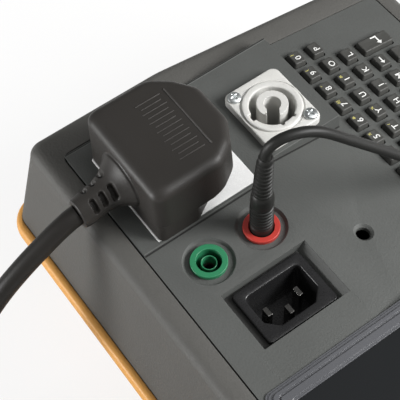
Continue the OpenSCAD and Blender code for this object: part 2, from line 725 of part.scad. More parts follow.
module cord(p, d, n) {
  m = len(p);
  polyhedron(
    points = [for (i = [0:m - 1]) each ring_of(p[i], ahead(p, i), d / 2, n)],
    faces = concat([[for (k = [0:n - 1]) k]], [[for (k = [n - 1:-1:0]) (m - 1) * n + k]],
      [for (i = [0:m - 2], k = [0:n - 1])
        [i * n + k, (i + 1) * n + k, (i + 1) * n + (k + 1) % n, i * n + (k + 1) % n]]));
}

lead_route = [[83, 90.5, 107.3], [83, 92, 107.3], [83, 98.5, 104.9], [83, 107, 100.5], [83, 117, 94.5], [83, 127, 87],
  [83, 136, 77.5], [83, 143, 65], [83, 148, 51], [83, 150, 40], [83, 152.7, 26.5], [83, 160.5, 15],
  [83, 172, 7], [83, 182, 4.3], [83, 190, 4.1]];
coil_x = 28;
coil_y = 206;
coil_r = 47;
lead_tail = [[-27, 190, 11.6], [-27, 184, 10.6], [-27, 177, 8.8], [-27, 171, 8], [-27, 168, 8]];

module test_lead() color([0.15, 0.14, 0.13]) {
  cord(lead_route, lead_d, 10);
  cord(lead_tail, lead_d, 10);
}

module test_lead_coil() color([0.15, 0.14, 0.13]) translate([coil_x, coil_y, 0]) rotate_extrude($fn = 72)
  translate([coil_r, lead_d]) round_rect(3 * lead_d, 2 * lead_d, lead_d / 2 - 0.1);

connector_y = 168;

module lead_connector() color([0.14, 0.14, 0.14]) translate([-27, connector_y, 8]) rotate([90, 0, 0]) {
  cylinder(r1 = 5.2, r2 = 6.6, h = 20, $fn = 32);
  translate([0, 0, 20]) linear_extrude(12) round_rect(27, 15.8, 3);
  translate([0, 0, 32]) linear_extrude(17) polygon([for (q = inlet_cavity(-0.5)) [q[1], -q[0]]]);
}

// Probe plug and its lead

probe_base = panel_h + 0.8;
sleeve_r = 4.5;

module probe_plug() color([0.13, 0.13, 0.13]) translate([red_x, red_y, 0]) {
  translate([0, 0, probe_base - 18]) difference() {
    cylinder(r = sleeve_r, h = 18);
    translate([0, 0, -1]) cylinder(r = 3.2, h = 18);
  }
  translate([0, 0, probe_base]) cylinder(r = sleeve_r, h = 3);
  for (i = [0:5]) translate([0, 0, probe_base + 3 + i * 2]) {
    cylinder(r = 4.2, h = 2);
    translate([0, 0, 0.6]) cylinder(r = 4.7, h = 1);
  }
  translate([0, 0, probe_base + 15]) cylinder(r1 = 4.4, r2 = 4.9, h = 3, $fn = 40);
  translate([0, 0, probe_base + 18]) cylinder(r1 = 4.9, r2 = 3.6, h = 4.5, $fn = 40);
  translate([0, 0, probe_base + 22.5]) cylinder(r1 = 3.3, r2 = 2.6, h = 20, $fn = 40);
  for (i = [0:7]) translate([0, 0, probe_base + 23.5 + i * 2.2]) cylinder(r = 3.6 - i * 0.08, h = 1.1);
  translate([0, 0, probe_base + 42.5]) cylinder(r = 2.7, h = 1.7);
}

module probe_plug_pin() color([0.8, 0.75, 0.5]) translate([red_x, red_y, probe_base - 18.5])
  cylinder(r = jack_bore / 2 - 0.05, h = 17.5);

probe_route = [[43, 35.6, 143], [43, 35.4, 145], [42.5, 34.2, 148.4], [41.2, 31, 151.4], [39.8, 26, 152],
  [38, 20, 150.4], [36, 14, 146.4], [33, 5, 137.6], [30, -5, 127.5], [27, -14, 118.5], [24, -23, 110.5],
  [21.4, -32, 103.6], [18.6, -41, 98.2], [15.4, -50, 94.6], [12, -59, 92.2], [8.4, -68, 89.6],
  [4.6, -77, 86.8], [1, -86, 84.4], [-2.4, -94, 81.6], [-6, -101, 76.6], [-9, -106, 69], [-11.4, -109, 60],
  [-13.4, -111, 50], [-15.4, -113, 40], [-17.6, -115, 30], [-20.4, -117.5, 20], [-24, -120, 11.5],
  [-28, -124, 5.4], [-31, -130, 2.6], [-31.9, -135, 2.1]];
probe_coil_x = -6;
probe_coil_y = -142;
probe_coil_r = 22;
probe_tail = [[1, -168, 6], [8, -168, 6.2], [14, -168, 6.8], [19, -168, 7], [22, -168, 7]];

module probe_lead() color([0.12, 0.12, 0.12]) {
  cord(probe_route, probe_lead_d, 8);
  cord(probe_tail, probe_lead_d, 8);
}

module probe_lead_coil() color([0.12, 0.12, 0.12]) translate([probe_coil_x, probe_coil_y, 0])
  rotate_extrude($fn = 60) translate([probe_coil_r, probe_lead_d])
    round_rect(3 * probe_lead_d, 2 * probe_lead_d, probe_lead_d / 2 - 0.1);

probe_x = 22;
grip_l = 74;

module probe_handle() color([0.75, 0.22, 0.18]) translate([probe_x, -168, 7]) rotate([0, 90, 0]) {
  cylinder(r1 = 3.4, r2 = 5.5, h = 10, $fn = 36);
  translate([0, 0, 10]) cylinder(r = 6, h = grip_l - 22, $fn = 36);
  for (i = [0:5]) translate([0, 0, 22 + i * 4]) cylinder(r = 6.5, h = 2, $fn = 36);
  translate([0, 0, grip_l - 14]) cylinder(r = 7, h = 3, $fn = 36);
  translate([0, 0, grip_l - 11]) cylinder(r1 = 5.5, r2 = 3, h = 14, $fn = 36);
}

module probe_tip() color([0.8, 0.8, 0.82]) translate([probe_x + grip_l + 3, -168, 7]) rotate([0, 90, 0]) {
  cylinder(r = 1, h = 14);
  translate([0, 0, 14]) cylinder(r1 = 1, r2 = 0.2, h = 3, $fn = 24);
}

base_shell();
top_shell();
panel_plate();
rubber_feet();
case_screws();
outlet_plate();
outlet_contacts();
round_outlet();
round_outlet_core();
round_outlet_screws();
bond_socket();
probe_socket();
socket_sleeves();
bond_zero_bush();
test_inlet();
test_inlet_pins();
display_frame();
display_window();
display_module();
key_row_1();
key_row_2();
key_row_3();
key_row_4();
key_row_5();
enter_key();
function_key_1();
function_key_2();
function_key_3();
function_key_4();
start_button();
stop_button();
keypad_board();
main_board();
board_pillars();
transformer();
supply_inlet();
supply_pins();
power_switch();
plug_body();
plug_pins();
plug_relief();
test_lead();
test_lead_coil();
lead_connector();
probe_plug();
probe_plug_pin();
probe_lead();
probe_lead_coil();
probe_handle();
probe_tip();
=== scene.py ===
# Bench tester for electrical appliances: the dressed model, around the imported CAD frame.
# Sizes below are in millimetres in the part's own frame; meshes are made in metres.
import bpy
import bmesh
import numpy as np
from mathutils import Matrix


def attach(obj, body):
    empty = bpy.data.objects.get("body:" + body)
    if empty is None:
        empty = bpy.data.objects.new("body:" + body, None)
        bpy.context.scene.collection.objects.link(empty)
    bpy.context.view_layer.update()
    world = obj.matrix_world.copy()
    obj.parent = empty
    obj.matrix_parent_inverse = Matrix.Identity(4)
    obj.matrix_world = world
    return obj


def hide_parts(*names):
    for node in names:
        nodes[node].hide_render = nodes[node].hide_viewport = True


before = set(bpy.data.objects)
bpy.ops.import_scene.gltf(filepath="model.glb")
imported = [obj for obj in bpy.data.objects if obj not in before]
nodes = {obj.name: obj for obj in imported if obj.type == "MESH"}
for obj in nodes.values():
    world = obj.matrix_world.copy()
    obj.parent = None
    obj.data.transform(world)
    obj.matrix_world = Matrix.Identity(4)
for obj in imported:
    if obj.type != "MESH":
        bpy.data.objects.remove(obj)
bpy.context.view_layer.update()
mm = 0.001

# Camera: place in millimetres, angles in degrees, focal length in pixels of the picture, clip in metres
camera = {"place": (-125.84, 170.59, 464.22), "azimuth": 57.41, "elevation": 58.12, "roll": -3.74,
          "focalPixels": 1148.51, "pictureWidth": 400, "sensor": 36.0, "clip": (0.01, 20)}


def addThing(name, data):
    # A new object for the data, in the scene.
    thing = bpy.data.objects.new(name, data)
    bpy.context.scene.collection.objects.link(thing)
    return thing


def standAt(thing, right, up, back, place):
    # Turns an object so that its x, y and z lie along right, up and back, and moves it to its place.
    turn = np.eye(4)
    turn[:3] = np.column_stack([right, up, back, place])
    thing.matrix_world = Matrix(turn.tolist())


def makeCamera(c):
    # A pinhole camera. Azimuth and elevation give back, the direction from the object to the camera; right
    # and up are square to it and turn about it by the roll.
    azimuth, elevation, roll = np.radians([c["azimuth"], c["elevation"], c["roll"]])
    level = np.cos(elevation)
    back = np.array([-np.sin(azimuth) * level, np.cos(azimuth) * level, np.sin(elevation)])
    right = np.cross(-back, [0, 0, 1])
    right /= np.linalg.norm(right)
    up = np.cross(right, -back)
    right, up = right * np.cos(roll) + up * np.sin(roll), up * np.cos(roll) - right * np.sin(roll)
    data = bpy.data.cameras.new("camera")
    data.sensor_width = c["sensor"]
    data.lens = c["focalPixels"] * c["sensor"] / c["pictureWidth"]
    data.clip_start, data.clip_end = c["clip"]
    thing = addThing("camera", data)
    standAt(thing, right, up, back, np.array(c["place"]) * mm)
    bpy.context.scene.camera = thing


makeCamera(camera)
print("camera placed")


# Mesh helpers
def addMesh(name, verts, faces, smoothAngle=35):
    # A new piece from points in millimetres and faces; edges sharper than smoothAngle stay crisp.
    mesh = bpy.data.meshes.new(name)
    mesh.from_pydata((np.asarray(verts, float) * mm).tolist(), [], [list(map(int, f)) for f in faces])
    mesh.validate()
    mesh.shade_smooth()
    mesh.set_sharp_from_angle(angle=np.radians(smoothAngle))
    return addThing(name, mesh)


def flatRing(outline, z):
    # A flat outline as a ring at height z.
    return np.column_stack([outline, np.full(len(outline), z)])


def loftParts(rings, closedRows=False):
    # Verts and faces of a skin through rings of points, each ring running counterclockwise as seen from
    # the side the skin moves towards. Quads join each ring to the next; the last one joins the first if
    # closedRows, or else the ends close with a fan round their mean point.
    rings = np.asarray(rings, float)
    rows, columns = rings.shape[:2]
    i, j = np.meshgrid(np.arange(rows if closedRows else rows - 1), np.arange(columns), indexing="ij")
    here, beyond, jNext = i * columns, (i + 1) % rows * columns, (j + 1) % columns
    faces = np.stack([here + j, here + jNext, beyond + jNext, beyond + j], -1).reshape(-1, 4).tolist()
    verts = rings.reshape(-1, 3)
    if not closedRows:
        middle, base, ring = len(verts), (rows - 1) * columns, np.arange(columns)
        verts = np.vstack([verts, rings[0].mean(0), rings[-1].mean(0)])
        faces += [[a, middle, b] for a, b in zip(np.roll(ring, -1), ring)]
        faces += [[base + a, middle + 1, base + b] for a, b in zip(ring, np.roll(ring, -1))]
    return verts, faces


def addLoft(name, rings, smoothAngle, place=(0, 0, 0), closedRows=False):
    # A new piece whose skin runs through the rings, moved to its place.
    verts, faces = loftParts(rings, closedRows)
    return addMesh(name, verts + np.array(place), faces, smoothAngle)


def joinParts(parts):
    # Several sets of verts and faces as one: each set's face numbers move up by the points before it.
    verts, faces, count = [], [], 0
    for v, f in parts:
        verts.append(v)
        faces += [[i + count for i in face] for face in f]
        count += len(v)
    return np.vstack(verts), faces


def roundedOutline(width, depth, radius, arc=10, side=12):
    # Rounded rectangle, counterclockwise: four quarter arcs and evenly divided straight sides between.
    radius = min(radius, width / 2 - 1e-3, depth / 2 - 1e-3)
    x, y = width / 2 - radius, depth / 2 - radius
    turn = np.linspace(0, np.pi / 2, arc + 1)
    corners = [(x, y, 0), (-x, y, 1), (-x, -y, 2), (x, -y, 3)]
    points = []
    for k, (cx, cy, quarter) in enumerate(corners):
        angle = turn + quarter * np.pi / 2
        points.append(np.stack([cx + radius * np.cos(angle), cy + radius * np.sin(angle)], -1))
        nextX, nextY, nextQuarter = corners[(k + 1) % 4]
        nextAngle = nextQuarter * np.pi / 2
        begin = points[-1][-1]
        stop = np.array([nextX + radius * np.cos(nextAngle), nextY + radius * np.sin(nextAngle)])
        share = np.linspace(0, 1, side + 1)[1:-1, None]
        points.append(begin + (stop - begin) * share)
    return np.vstack(points)


def roundedPolygon(corners, radii, count=160):
    # A closed outline with its corners rounded, sampled evenly by length from near its first corner.
    corners = np.asarray(corners, float)
    t = np.linspace(0, 1, 15)[:, None]
    points = []
    for a, b, c, radius in zip(np.roll(corners, 1, 0), corners, np.roll(corners, -1, 0), radii):
        u, v = (a - b) / np.linalg.norm(a - b), (c - b) / np.linalg.norm(c - b)
        half = np.arccos(np.clip(u @ v, -1, 1)) / 2
        reach = min(radius / np.tan(half), 0.48 * np.linalg.norm(a - b), 0.48 * np.linalg.norm(c - b))
        points.append((1 - t) ** 2 * (b + u * reach) + 2 * t * (1 - t) * b + t * t * (b + v * reach))
    points = np.vstack(points)
    closed = np.vstack([points, points[:1]])
    run = np.concatenate([[0], np.cumsum(np.linalg.norm(np.diff(closed, axis=0), axis=1))])
    even = np.arange(count) * run[-1] / count
    return np.column_stack([np.interp(even, run, closed[:, 0]), np.interp(even, run, closed[:, 1])])


def rayRing(outline, angles, z):
    # Where rays from the origin at the angles cross a dense outline, as a ring at height z.
    turn = np.arctan2(outline[:, 1], outline[:, 0])
    radius = np.interp(angles, turn, np.hypot(outline[:, 0], outline[:, 1]), period=2 * np.pi)
    return flatRing(np.column_stack([radius * np.cos(angles), radius * np.sin(angles)]), z)


def prismParts(outline, low, high):
    # An upright block from low to high over a flat outline, counterclockwise, with one face at each end.
    n = len(outline)
    verts = np.vstack([flatRing(outline, low), flatRing(outline, high)])
    side = np.arange(n)
    following = np.roll(side, -1)
    faces = np.column_stack([side, following, following + n, side + n]).tolist()
    return verts, faces + [list(range(n - 1, -1, -1)), list(range(n, 2 * n))]


def spin(profile, count=72):
    # Rings of a turned shape round Z: each (radius, height) of the profile becomes a circle.
    profile = np.asarray(profile, float)
    angle = np.arange(count) * 2 * np.pi / count
    rings = np.zeros((len(profile), count, 3))
    rings[..., 0] = profile[:, 0, None] * np.cos(angle)
    rings[..., 1] = profile[:, 0, None] * np.sin(angle)
    rings[..., 2] = profile[:, 1, None]
    return rings


def placed(points, origin=(0, 0, 0), xAxis=(1, 0, 0), yAxis=(0, 1, 0), zAxis=(0, 0, 1)):
    # Points given in a local frame, moved to the part's frame.
    return np.asarray(points) @ np.array([xAxis, yAxis, zAxis], float) + np.array(origin, float)


def softenEdges(thing, width, segments, angle=35):
    # A round of the given width, in millimetres, where two faces meet at more than angle.
    bevel = thing.modifiers.new("edge", "BEVEL")
    bevel.width = width * mm
    bevel.segments = segments
    bevel.limit_method = "ANGLE"
    bevel.angle_limit = np.radians(angle)
    bevel.use_clamp_overlap = True
    bevel.harden_normals = True


def bevelledCopy(node, width=0.25, segments=2, angle=35):
    # The CAD node's own shape with its edges rounded off: a merged copy with a Bevel.
    mesh = nodes[node].data.copy()
    mesh.name = node + "Finish"
    work = bmesh.new()
    work.from_mesh(mesh)
    bmesh.ops.remove_doubles(work, verts=work.verts, dist=2e-6)
    bmesh.ops.dissolve_degenerate(work, edges=work.edges, dist=1e-6)
    bmesh.ops.dissolve_limit(work, angle_limit=np.radians(0.6), verts=work.verts, edges=work.edges)
    work.to_mesh(mesh)
    work.free()
    mesh.materials.clear()
    mesh.shade_smooth()
    mesh.set_sharp_from_angle(angle=np.radians(angle))
    thing = addThing(node + "Finish", mesh)
    softenEdges(thing, width, segments, angle)
    return thing


# Finishes: scales per metre, distances in metres
grain = {"fineScale": 1900, "fineDetail": 2.0, "pitScale": 1300, "pitShare": 0.6, "driftScale": 45,
         "driftDetail": 3.0, "glossDrift": 0.25, "bumpDistance": 0.00012, "coatRoughness": 0.12}


def newGroup(name, inputs, outputs):
    # A node group with its sockets, and its input and output nodes.
    group = bpy.data.node_groups.new(name, "ShaderNodeTree")
    for label, kind, value in inputs:
        socket = group.interface.new_socket(label, in_out="INPUT", socket_type=kind)
        socket.default_value = value
    for label, kind in outputs:
        group.interface.new_socket(label, in_out="OUTPUT", socket_type=kind)
    return group, group.nodes.new("NodeGroupInput"), group.nodes.new("NodeGroupOutput")


def feed(tree, socket, source):
    # A socket takes another node's output by a link, or else a plain number.
    if isinstance(source, bpy.types.NodeSocket):
        tree.links.new(source, socket)
    else:
        socket.default_value = source


def mathNode(tree, operation, *sources):
    # The outcome of one sum on the sources, in their order.
    node = tree.nodes.new("ShaderNodeMath")
    node.operation = operation
    for socket, source in zip(node.inputs, sources):
        feed(tree, socket, source)
    return node.outputs[0]


def scaleNode(tree, vector, factor):
    # A vector or a colour times a factor.
    node = tree.nodes.new("ShaderNodeVectorMath")
    node.operation = "SCALE"
    feed(tree, node.inputs[0], vector)
    feed(tree, node.inputs["Scale"], factor)
    return node.outputs[0]


def textureNode(tree, kind, vector, scale, detail=None):
    # The outputs of a noise or cell texture over the vector.
    node = tree.nodes.new(kind)
    feed(tree, node.inputs["Vector"], vector)
    node.inputs["Scale"].default_value = scale
    if detail is not None:
        node.inputs["Detail"].default_value = detail
    return node.outputs


def makeMouldedGroup():
    # Moulded surface on Object coordinates. Fine noise plus cells is the height of the bump. Slow noise
    # plus fine noise, less 1, is the drift: the colour is scaled by 1 plus the drift, and the roughness
    # moves with it.
    number, color, vector = "NodeSocketFloat", "NodeSocketColor", "NodeSocketVector"
    group, given, result = newGroup(
        "mouldedSurface",
        [("Color", color, (0.5, 0.5, 0.5, 1)), ("Grain Size", number, 1.0), ("Grain Depth", number, 0.3),
         ("Drift", number, 0.1), ("Roughness", number, 0.5)],
        [("Color", color), ("Roughness", number), ("Normal", vector)])
    coords = group.nodes.new("ShaderNodeTexCoord").outputs["Object"]
    sized = scaleNode(group, coords, given.outputs["Grain Size"])
    fine = textureNode(group, "ShaderNodeTexNoise", sized, grain["fineScale"], grain["fineDetail"])["Fac"]
    pits = textureNode(group, "ShaderNodeTexVoronoi", sized, grain["pitScale"])["Distance"]
    slow = textureNode(group, "ShaderNodeTexNoise", coords, grain["driftScale"], grain["driftDetail"])["Fac"]
    bump = group.nodes.new("ShaderNodeBump")
    bump.inputs["Distance"].default_value = grain["bumpDistance"]
    feed(group, bump.inputs["Strength"], given.outputs["Grain Depth"])
    feed(group, bump.inputs["Height"], mathNode(group, "MULTIPLY_ADD", pits, grain["pitShare"], fine))
    drift = mathNode(group, "SUBTRACT", mathNode(group, "ADD", slow, fine), 1.0)
    shade = mathNode(group, "MULTIPLY_ADD", drift, given.outputs["Drift"], 1.0)
    gloss = mathNode(group, "MULTIPLY_ADD", drift, grain["glossDrift"], given.outputs["Roughness"])
    feed(group, result.inputs["Color"], scaleNode(group, given.outputs["Color"], shade))
    feed(group, result.inputs["Roughness"], gloss)
    feed(group, result.inputs["Normal"], bump.outputs["Normal"])
    return group


mouldedGroup = makeMouldedGroup()

# name: colour, roughness, grain size, grain depth, drift, metallic, specular, coat
finishes = {
    "casePlastic": ((0.083, 0.081, 0.075), 0.62, 0.7, 0.75, 0.22, 0, 0.36, 0),
    "panelPlastic": ((0.078, 0.081, 0.077), 0.60, 0.8, 0.6, 0.20, 0, 0.36, 0),
    "amberPlastic": ((0.70, 0.345, 0.085), 0.48, 0.8, 0.35, 0.10, 0, 0.45, 0),
    "plugRubber": ((0.026, 0.0236, 0.0212), 0.45, 1.2, 0.22, 0.12, 0, 0.33, 0),
    "cordRubber": ((0.015, 0.0135, 0.012), 0.47, 1.2, 0.15, 0.12, 0, 0.27, 0),
    "leadRubber": ((0.0115, 0.0115, 0.0105), 0.45, 1.2, 0.12, 0.12, 0, 0.27, 0),
    # The ribs' rubber is painted lighter than the plug's: a painted highlight for the light the ribs catch.
    "ribHighlightRubber": ((0.043, 0.040, 0.037), 0.5, 1.2, 0.15, 0.12, 0, 0.45, 0),
    "keyRubber": ((0.049, 0.049, 0.045), 0.55, 1.1, 0.35, 0.15, 0, 0.42, 0),
    "paleKeyRubber": ((0.26, 0.27, 0.26), 0.55, 1.1, 0.35, 0.12, 0, 0.45, 0),
    "outletPlastic": ((0.58, 0.575, 0.55), 0.46, 0.8, 0.45, 0.10, 0, 0.45, 0),
    "whitePlastic": ((0.83, 0.83, 0.82), 0.28, 1.0, 0.08, 0.03, 0, 0.5, 0.2),
    "greenPlastic": ((0.021, 0.175, 0.078), 0.38, 1.0, 0.15, 0.10, 0, 0.5, 0),
    "redPlastic": ((0.41, 0.035, 0.026), 0.42, 1.0, 0.15, 0.10, 0, 0.5, 0),
    "blackPlastic": ((0.014, 0.014, 0.0145), 0.28, 0.9, 0.3, 0.15, 0, 0.45, 0),
    "framePlastic": ((0.085, 0.087, 0.094), 0.30, 1.0, 0.10, 0.10, 0, 0.5, 0.3),
    "windowPlastic": ((0.008, 0.009, 0.010), 0.09, 1.0, 0.0, 0.05, 0, 0.5, 0.5),
    "footRubber": ((0.03, 0.03, 0.03), 0.7, 1.0, 0.4, 0.1, 0, 0.4, 0),
    "boardGreen": ((0.03, 0.14, 0.06), 0.45, 1.0, 0.1, 0.1, 0, 0.5, 0),
    "zincSteel": ((0.55, 0.58, 0.59), 0.26, 1.4, 0.10, 0.12, 1, 0.5, 0),
    "nickelPin": ((0.24, 0.235, 0.225), 0.2, 1.4, 0.12, 0.12, 1, 0.5, 0),
    "brassMetal": ((0.62, 0.47, 0.24), 0.30, 1.4, 0.12, 0.12, 1, 0.5, 0),
    "screwSteel": ((0.66, 0.69, 0.69), 0.36, 1.4, 0.12, 0.10, 1, 0.5, 0),
    "boreMetal": ((0.035, 0.032, 0.026), 0.35, 1.4, 0.12, 0.12, 1, 0.5, 0),
    # The next two finishes paint light and shade on thin strips: a painted highlight and painted shade.
    "highlightPaint": ((0.118, 0.122, 0.116), 0.50, 0.8, 0.2, 0.10, 0, 0.4, 0),
    "shadowPaint": ((0.022, 0.022, 0.021), 0.60, 0.8, 0.3, 0.10, 0, 0.3, 0),
    "legendWhite": ((0.72, 0.72, 0.70), 0.5, 1.0, 0.05, 0.04, 0, 0.4, 0),
    "legendYellow": ((0.50, 0.45, 0.14), 0.5, 1.0, 0.05, 0.06, 0, 0.4, 0),
}


def makeFinish(name):
    # A Principled material whose colour, roughness and normal come from the moulded surface.
    color, roughness, grainSize, grainDepth, drift, metallic, specular, coat = finishes[name]
    material = bpy.data.materials.new(name)
    material.use_nodes = True
    tree = material.node_tree
    shader = tree.nodes["Principled BSDF"]
    moulded = tree.nodes.new("ShaderNodeGroup")
    moulded.node_tree = mouldedGroup
    for label, value in (("Color", (*color, 1)), ("Grain Size", grainSize), ("Grain Depth", grainDepth),
                         ("Drift", drift), ("Roughness", roughness)):
        moulded.inputs[label].default_value = value
    tree.links.new(moulded.outputs["Color"], shader.inputs["Base Color"])
    tree.links.new(moulded.outputs["Roughness"], shader.inputs["Roughness"])
    if grainDepth > 0:
        tree.links.new(moulded.outputs["Normal"], shader.inputs["Normal"])
    shader.inputs["Metallic"].default_value = metallic
    shader.inputs["Specular IOR Level"].default_value = specular
    shader.inputs["Coat Weight"].default_value = coat
    shader.inputs["Coat Roughness"].default_value = grain["coatRoughness"]
    material.diffuse_color = (*color, 1)
    return material


materials = {name: makeFinish(name) for name in finishes}


def paintNode(node, finish):
    # A CAD node keeps its mesh and takes a finish of its own.
    thing = nodes[node]
    if not thing.data.materials:
        thing.data.materials.append(None)
    for slot in thing.material_slots:
        slot.link = "OBJECT"
        slot.material = materials[finish]


def piece(thing, finish, body, slotName, *replaced):
    # A new piece gets its finish, the body that it rides on and the CAD nodes that it stands for; slotName is
    # not used.
    thing.data.materials.clear()
    thing.data.materials.append(materials[finish])
    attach(thing, body)
    if replaced:
        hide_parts(*replaced)
    return thing


print("finishes made")

# The case
case = {"width": 275, "depth": 203, "panelHeight": 98, "parting": 50, "wall": 3, "draft": 7,
        "draftRear": 10.3, "taper": 14, "rimOut": 2.5, "rimHeight": 8, "ledge": 1.5, "corner": 6.5,
        "beadCorner": 12, "beadEnd": 158, "edge": 5, "tilt": 8.5, "fold": 26, "foldRound": 0.8, "foot": 3,
        "soleCorner": 5, "soleMiddle": 60, "seatWide": 4.5, "seatThick": 2.4, "insideTop": 6,
        "insideCorner": 4, "lipDeep": 2.4}
panel = {"width": 228, "depth": 157, "thick": 2.6, "groove": 0.5, "corner": 3.5, "bevel": 0.35}
slope = np.tan(np.radians(case["tilt"]))


def panelTop(y):
    # Height of the panel over y: level at the rear, a small round at the fold, then falling by the slope.
    t = case["fold"] - np.asarray(y, float)
    return case["panelHeight"] - slope * (0.5 * (t + np.sqrt(t * t + case["foldRound"] ** 2)))


def onSlope(points):
    # Local x, y, z on the sloping part: y runs down from the fold when negative, z stands off the surface.
    a = np.radians(case["tilt"])
    return placed(points, (0, case["fold"], case["panelHeight"]), (1, 0, 0), (0, np.cos(a), np.sin(a)),
                  (0, -np.sin(a), np.cos(a)))


def makeTopShell():
    # A closed skin through rounded rectangles: up the leaning walls, over the edge's quarter round, in
    # across the rim of the panel, down into its seat, and back down inside.
    bodyW, bodyD = case["width"] - 2 * case["rimOut"], case["depth"] - 2 * case["rimOut"]
    topW, topD = bodyW - 2 * case["draft"], bodyD - 2 * case["draftRear"]
    footW, footD = bodyW - 2 * case["ledge"], bodyD - 2 * case["ledge"]
    edge, parting, corner, seatCorner = case["edge"], case["parting"], case["corner"], panel["corner"]
    rings = []

    def ring(w, d, r, share, below):
        # share runs from the parting line to the panel's height less below.
        outline = roundedOutline(w, d, r, 12, 60)
        z = parting + share * (panelTop(outline[:, 1]) - below - parting)
        rings.append(np.column_stack([outline, z]))

    for inset, sharper, share in ((2.4, 1.2, -0.045), (0.7, 0.3, -0.04), (0.1, 0, -0.032)):
        ring(footW - inset, footD - inset, corner - sharper, share, 0)
    for share in np.linspace(0.0, 1, 10):
        ring(footW + (topW - footW) * share, footD + (topD - footD) * share, corner, share, edge)
    for angle in np.radians(np.linspace(8, 90, 11)):
        inward = 2 * edge * (1 - np.cos(angle))
        ring(topW - inward, topD - inward, corner - inward * 0.4, 1, edge * (1 - np.sin(angle)))
    seatW, seatD = panel["width"] + 2 * panel["groove"], panel["depth"] + 2 * panel["groove"]
    for grow, rounder, below in ((1.0, 0.5, 0), (0.3, 0.2, 0.1), (0, 0, 0.4), (0, 0, panel["thick"])):
        ring(seatW + grow, seatD + grow, seatCorner + rounder, 1, below)
    holeW, holeD = seatW - 2 * case["seatWide"], seatD - 2 * case["seatWide"]
    under = panel["thick"] + case["seatThick"]
    ring(holeW, holeD, seatCorner - 0.5, 1, panel["thick"])
    ring(holeW, holeD, seatCorner - 0.5, 1, under)
    ring(topW - 2 * case["insideTop"], topD - 2 * case["insideTop"], case["insideCorner"], 1, under)
    ring(footW - 2 * case["wall"], footD - 2 * case["wall"], case["insideCorner"], 0.0, 0)
    return addLoft("topShellSkin", rings, 40, closedRows=True)


def makeBaseShell():
    # A tub: from the middle of its sole out and up the leaning wall, round the bead under the parting line,
    # over the lip and down inside.
    bodyW, bodyD = case["width"] - 2 * case["rimOut"], case["depth"] - 2 * case["rimOut"]
    low, parting, rim, taper, wall = (case[key] for key in ("foot", "parting", "rimHeight", "taper", "wall"))
    sole, corner, bead, ledge = (case[key] for key in ("soleCorner", "corner", "beadCorner", "ledge"))
    rings = []

    def ring(grow, z, r):
        outline = roundedOutline(bodyW + 2 * grow, bodyD + 2 * grow, r, 12, 6)
        rings.append(flatRing(outline, z))

    ring(-case["soleMiddle"], low, 3)
    ring(-taper - 0.8, low, sole - 0.4)
    ring(-taper - 0.2, low + 0.3, sole)
    for share in np.linspace(0.04, 1, 6):
        ring(-taper * (1 - share), low + (parting - rim - 0.2 - low) * share, sole + (bead - sole) * share)
    for angle in np.radians(np.linspace(0, case["beadEnd"], 17)):
        ring(case["rimOut"] * np.sin(angle) ** 0.7, parting - rim / 2 - rim / 2 * np.cos(angle),
             bead + 0.6 * case["rimOut"] * np.sin(angle))
    for grow, down in ((0.3, 0.04), (0.7 - ledge, 0), (0.3 - ledge, 0.2), (0.17 - ledge, 0.8),
                       (0.15 - ledge, case["lipDeep"])):
        ring(grow, parting - down, corner + (bead - corner) * (grow + ledge) / (ledge + 0.3))
    ring(-wall, parting - case["lipDeep"], corner - 3)
    ring(-wall, parting - rim + wall, corner - 3)
    ring(-taper - wall, low + wall, sole)
    ring(-case["soleMiddle"], low + wall, 3)
    return addLoft("baseShellSkin", rings, 40)


piece(makeTopShell(), "casePlastic", "case", "case_grey", "top_shell")
piece(makeBaseShell(), "amberPlastic", "case", "amber_plastic", "base_shell")
piece(bevelledCopy("panel_plate", panel["bevel"], 3), "panelPlastic", "case", "panel_grey", "panel_plate")
paintedNodes = {"rubber_feet": "footRubber", "case_screws": "zincSteel", "keypad_board": "boardGreen",
                "main_board": "boardGreen", "board_pillars": "brassMetal", "transformer": "zincSteel",
                "display_module": "boardGreen", "outlet_contacts": "brassMetal",
                "bond_zero_bush": "boreMetal", "socket_sleeves": "boreMetal",
                "plug_pins": "brassMetal", "probe_plug_pin": "brassMetal", "probe_tip": "zincSteel"}
for node, finish in paintedNodes.items():
    paintNode(node, finish)
print("case made")

# Outlets and sockets
outlet = {"x": 83, "y": 48, "platformUp": 0.3, "bevel": 0.3}
platformTop = case["panelHeight"] + outlet["platformUp"]
# keyways: angle and width in degrees, and depth; key: near, far and depth of the notch in the core's slot;
# slotTurn in degrees, the turns of the two screws in radians
roundOutlet = {"x": 82, "y": 1.5, "bore": 9.15, "flange": (31, 26), "flangeCorner": 3.2, "thick": 3.5,
               "collarRadius": 12.1, "deep": 22,
               "keyways": ((89.3, 20.6, 1.15), (168, 8, 0.9), (204, 8, 0.9)),
               "core": 6.3, "coreUp": 5.6, "hole": 3.4, "slot": 4.9, "slotTurn": 147, "key": (4.3, 5.3, 0.8),
               "coreRound": 0.3}
screws = {"apart": (24, 19), "turns": (0.35, 0.1), "shank": 1.5, "shankLong": 5.6, "head": 2.8, "rim": 0.4,
          "dome": 1.15, "cross": 0.3, "crossReach": 1.55, "crossDeep": 0.75}
inlet = {"x": 16, "y": 46.6, "drop": 2.5, "flange": (24, 31), "flangeCorner": 1.9, "body": (20, 28),
         "deep": 20, "cavity": (8.1, 12.1), "cut": 4.5, "cavityRounds": (2.6, 2.6, 1.2, 1.2, 1.2, 1.2),
         "well": (26, 34.4), "wellY": 48.35, "wellFront": 27.4, "shadeLow": 4.45, "shadeThick": 0.15}

piece(bevelledCopy("outlet_plate", outlet["bevel"], 2), "whitePlastic", "case", "white_plastic",
      "outlet_plate")


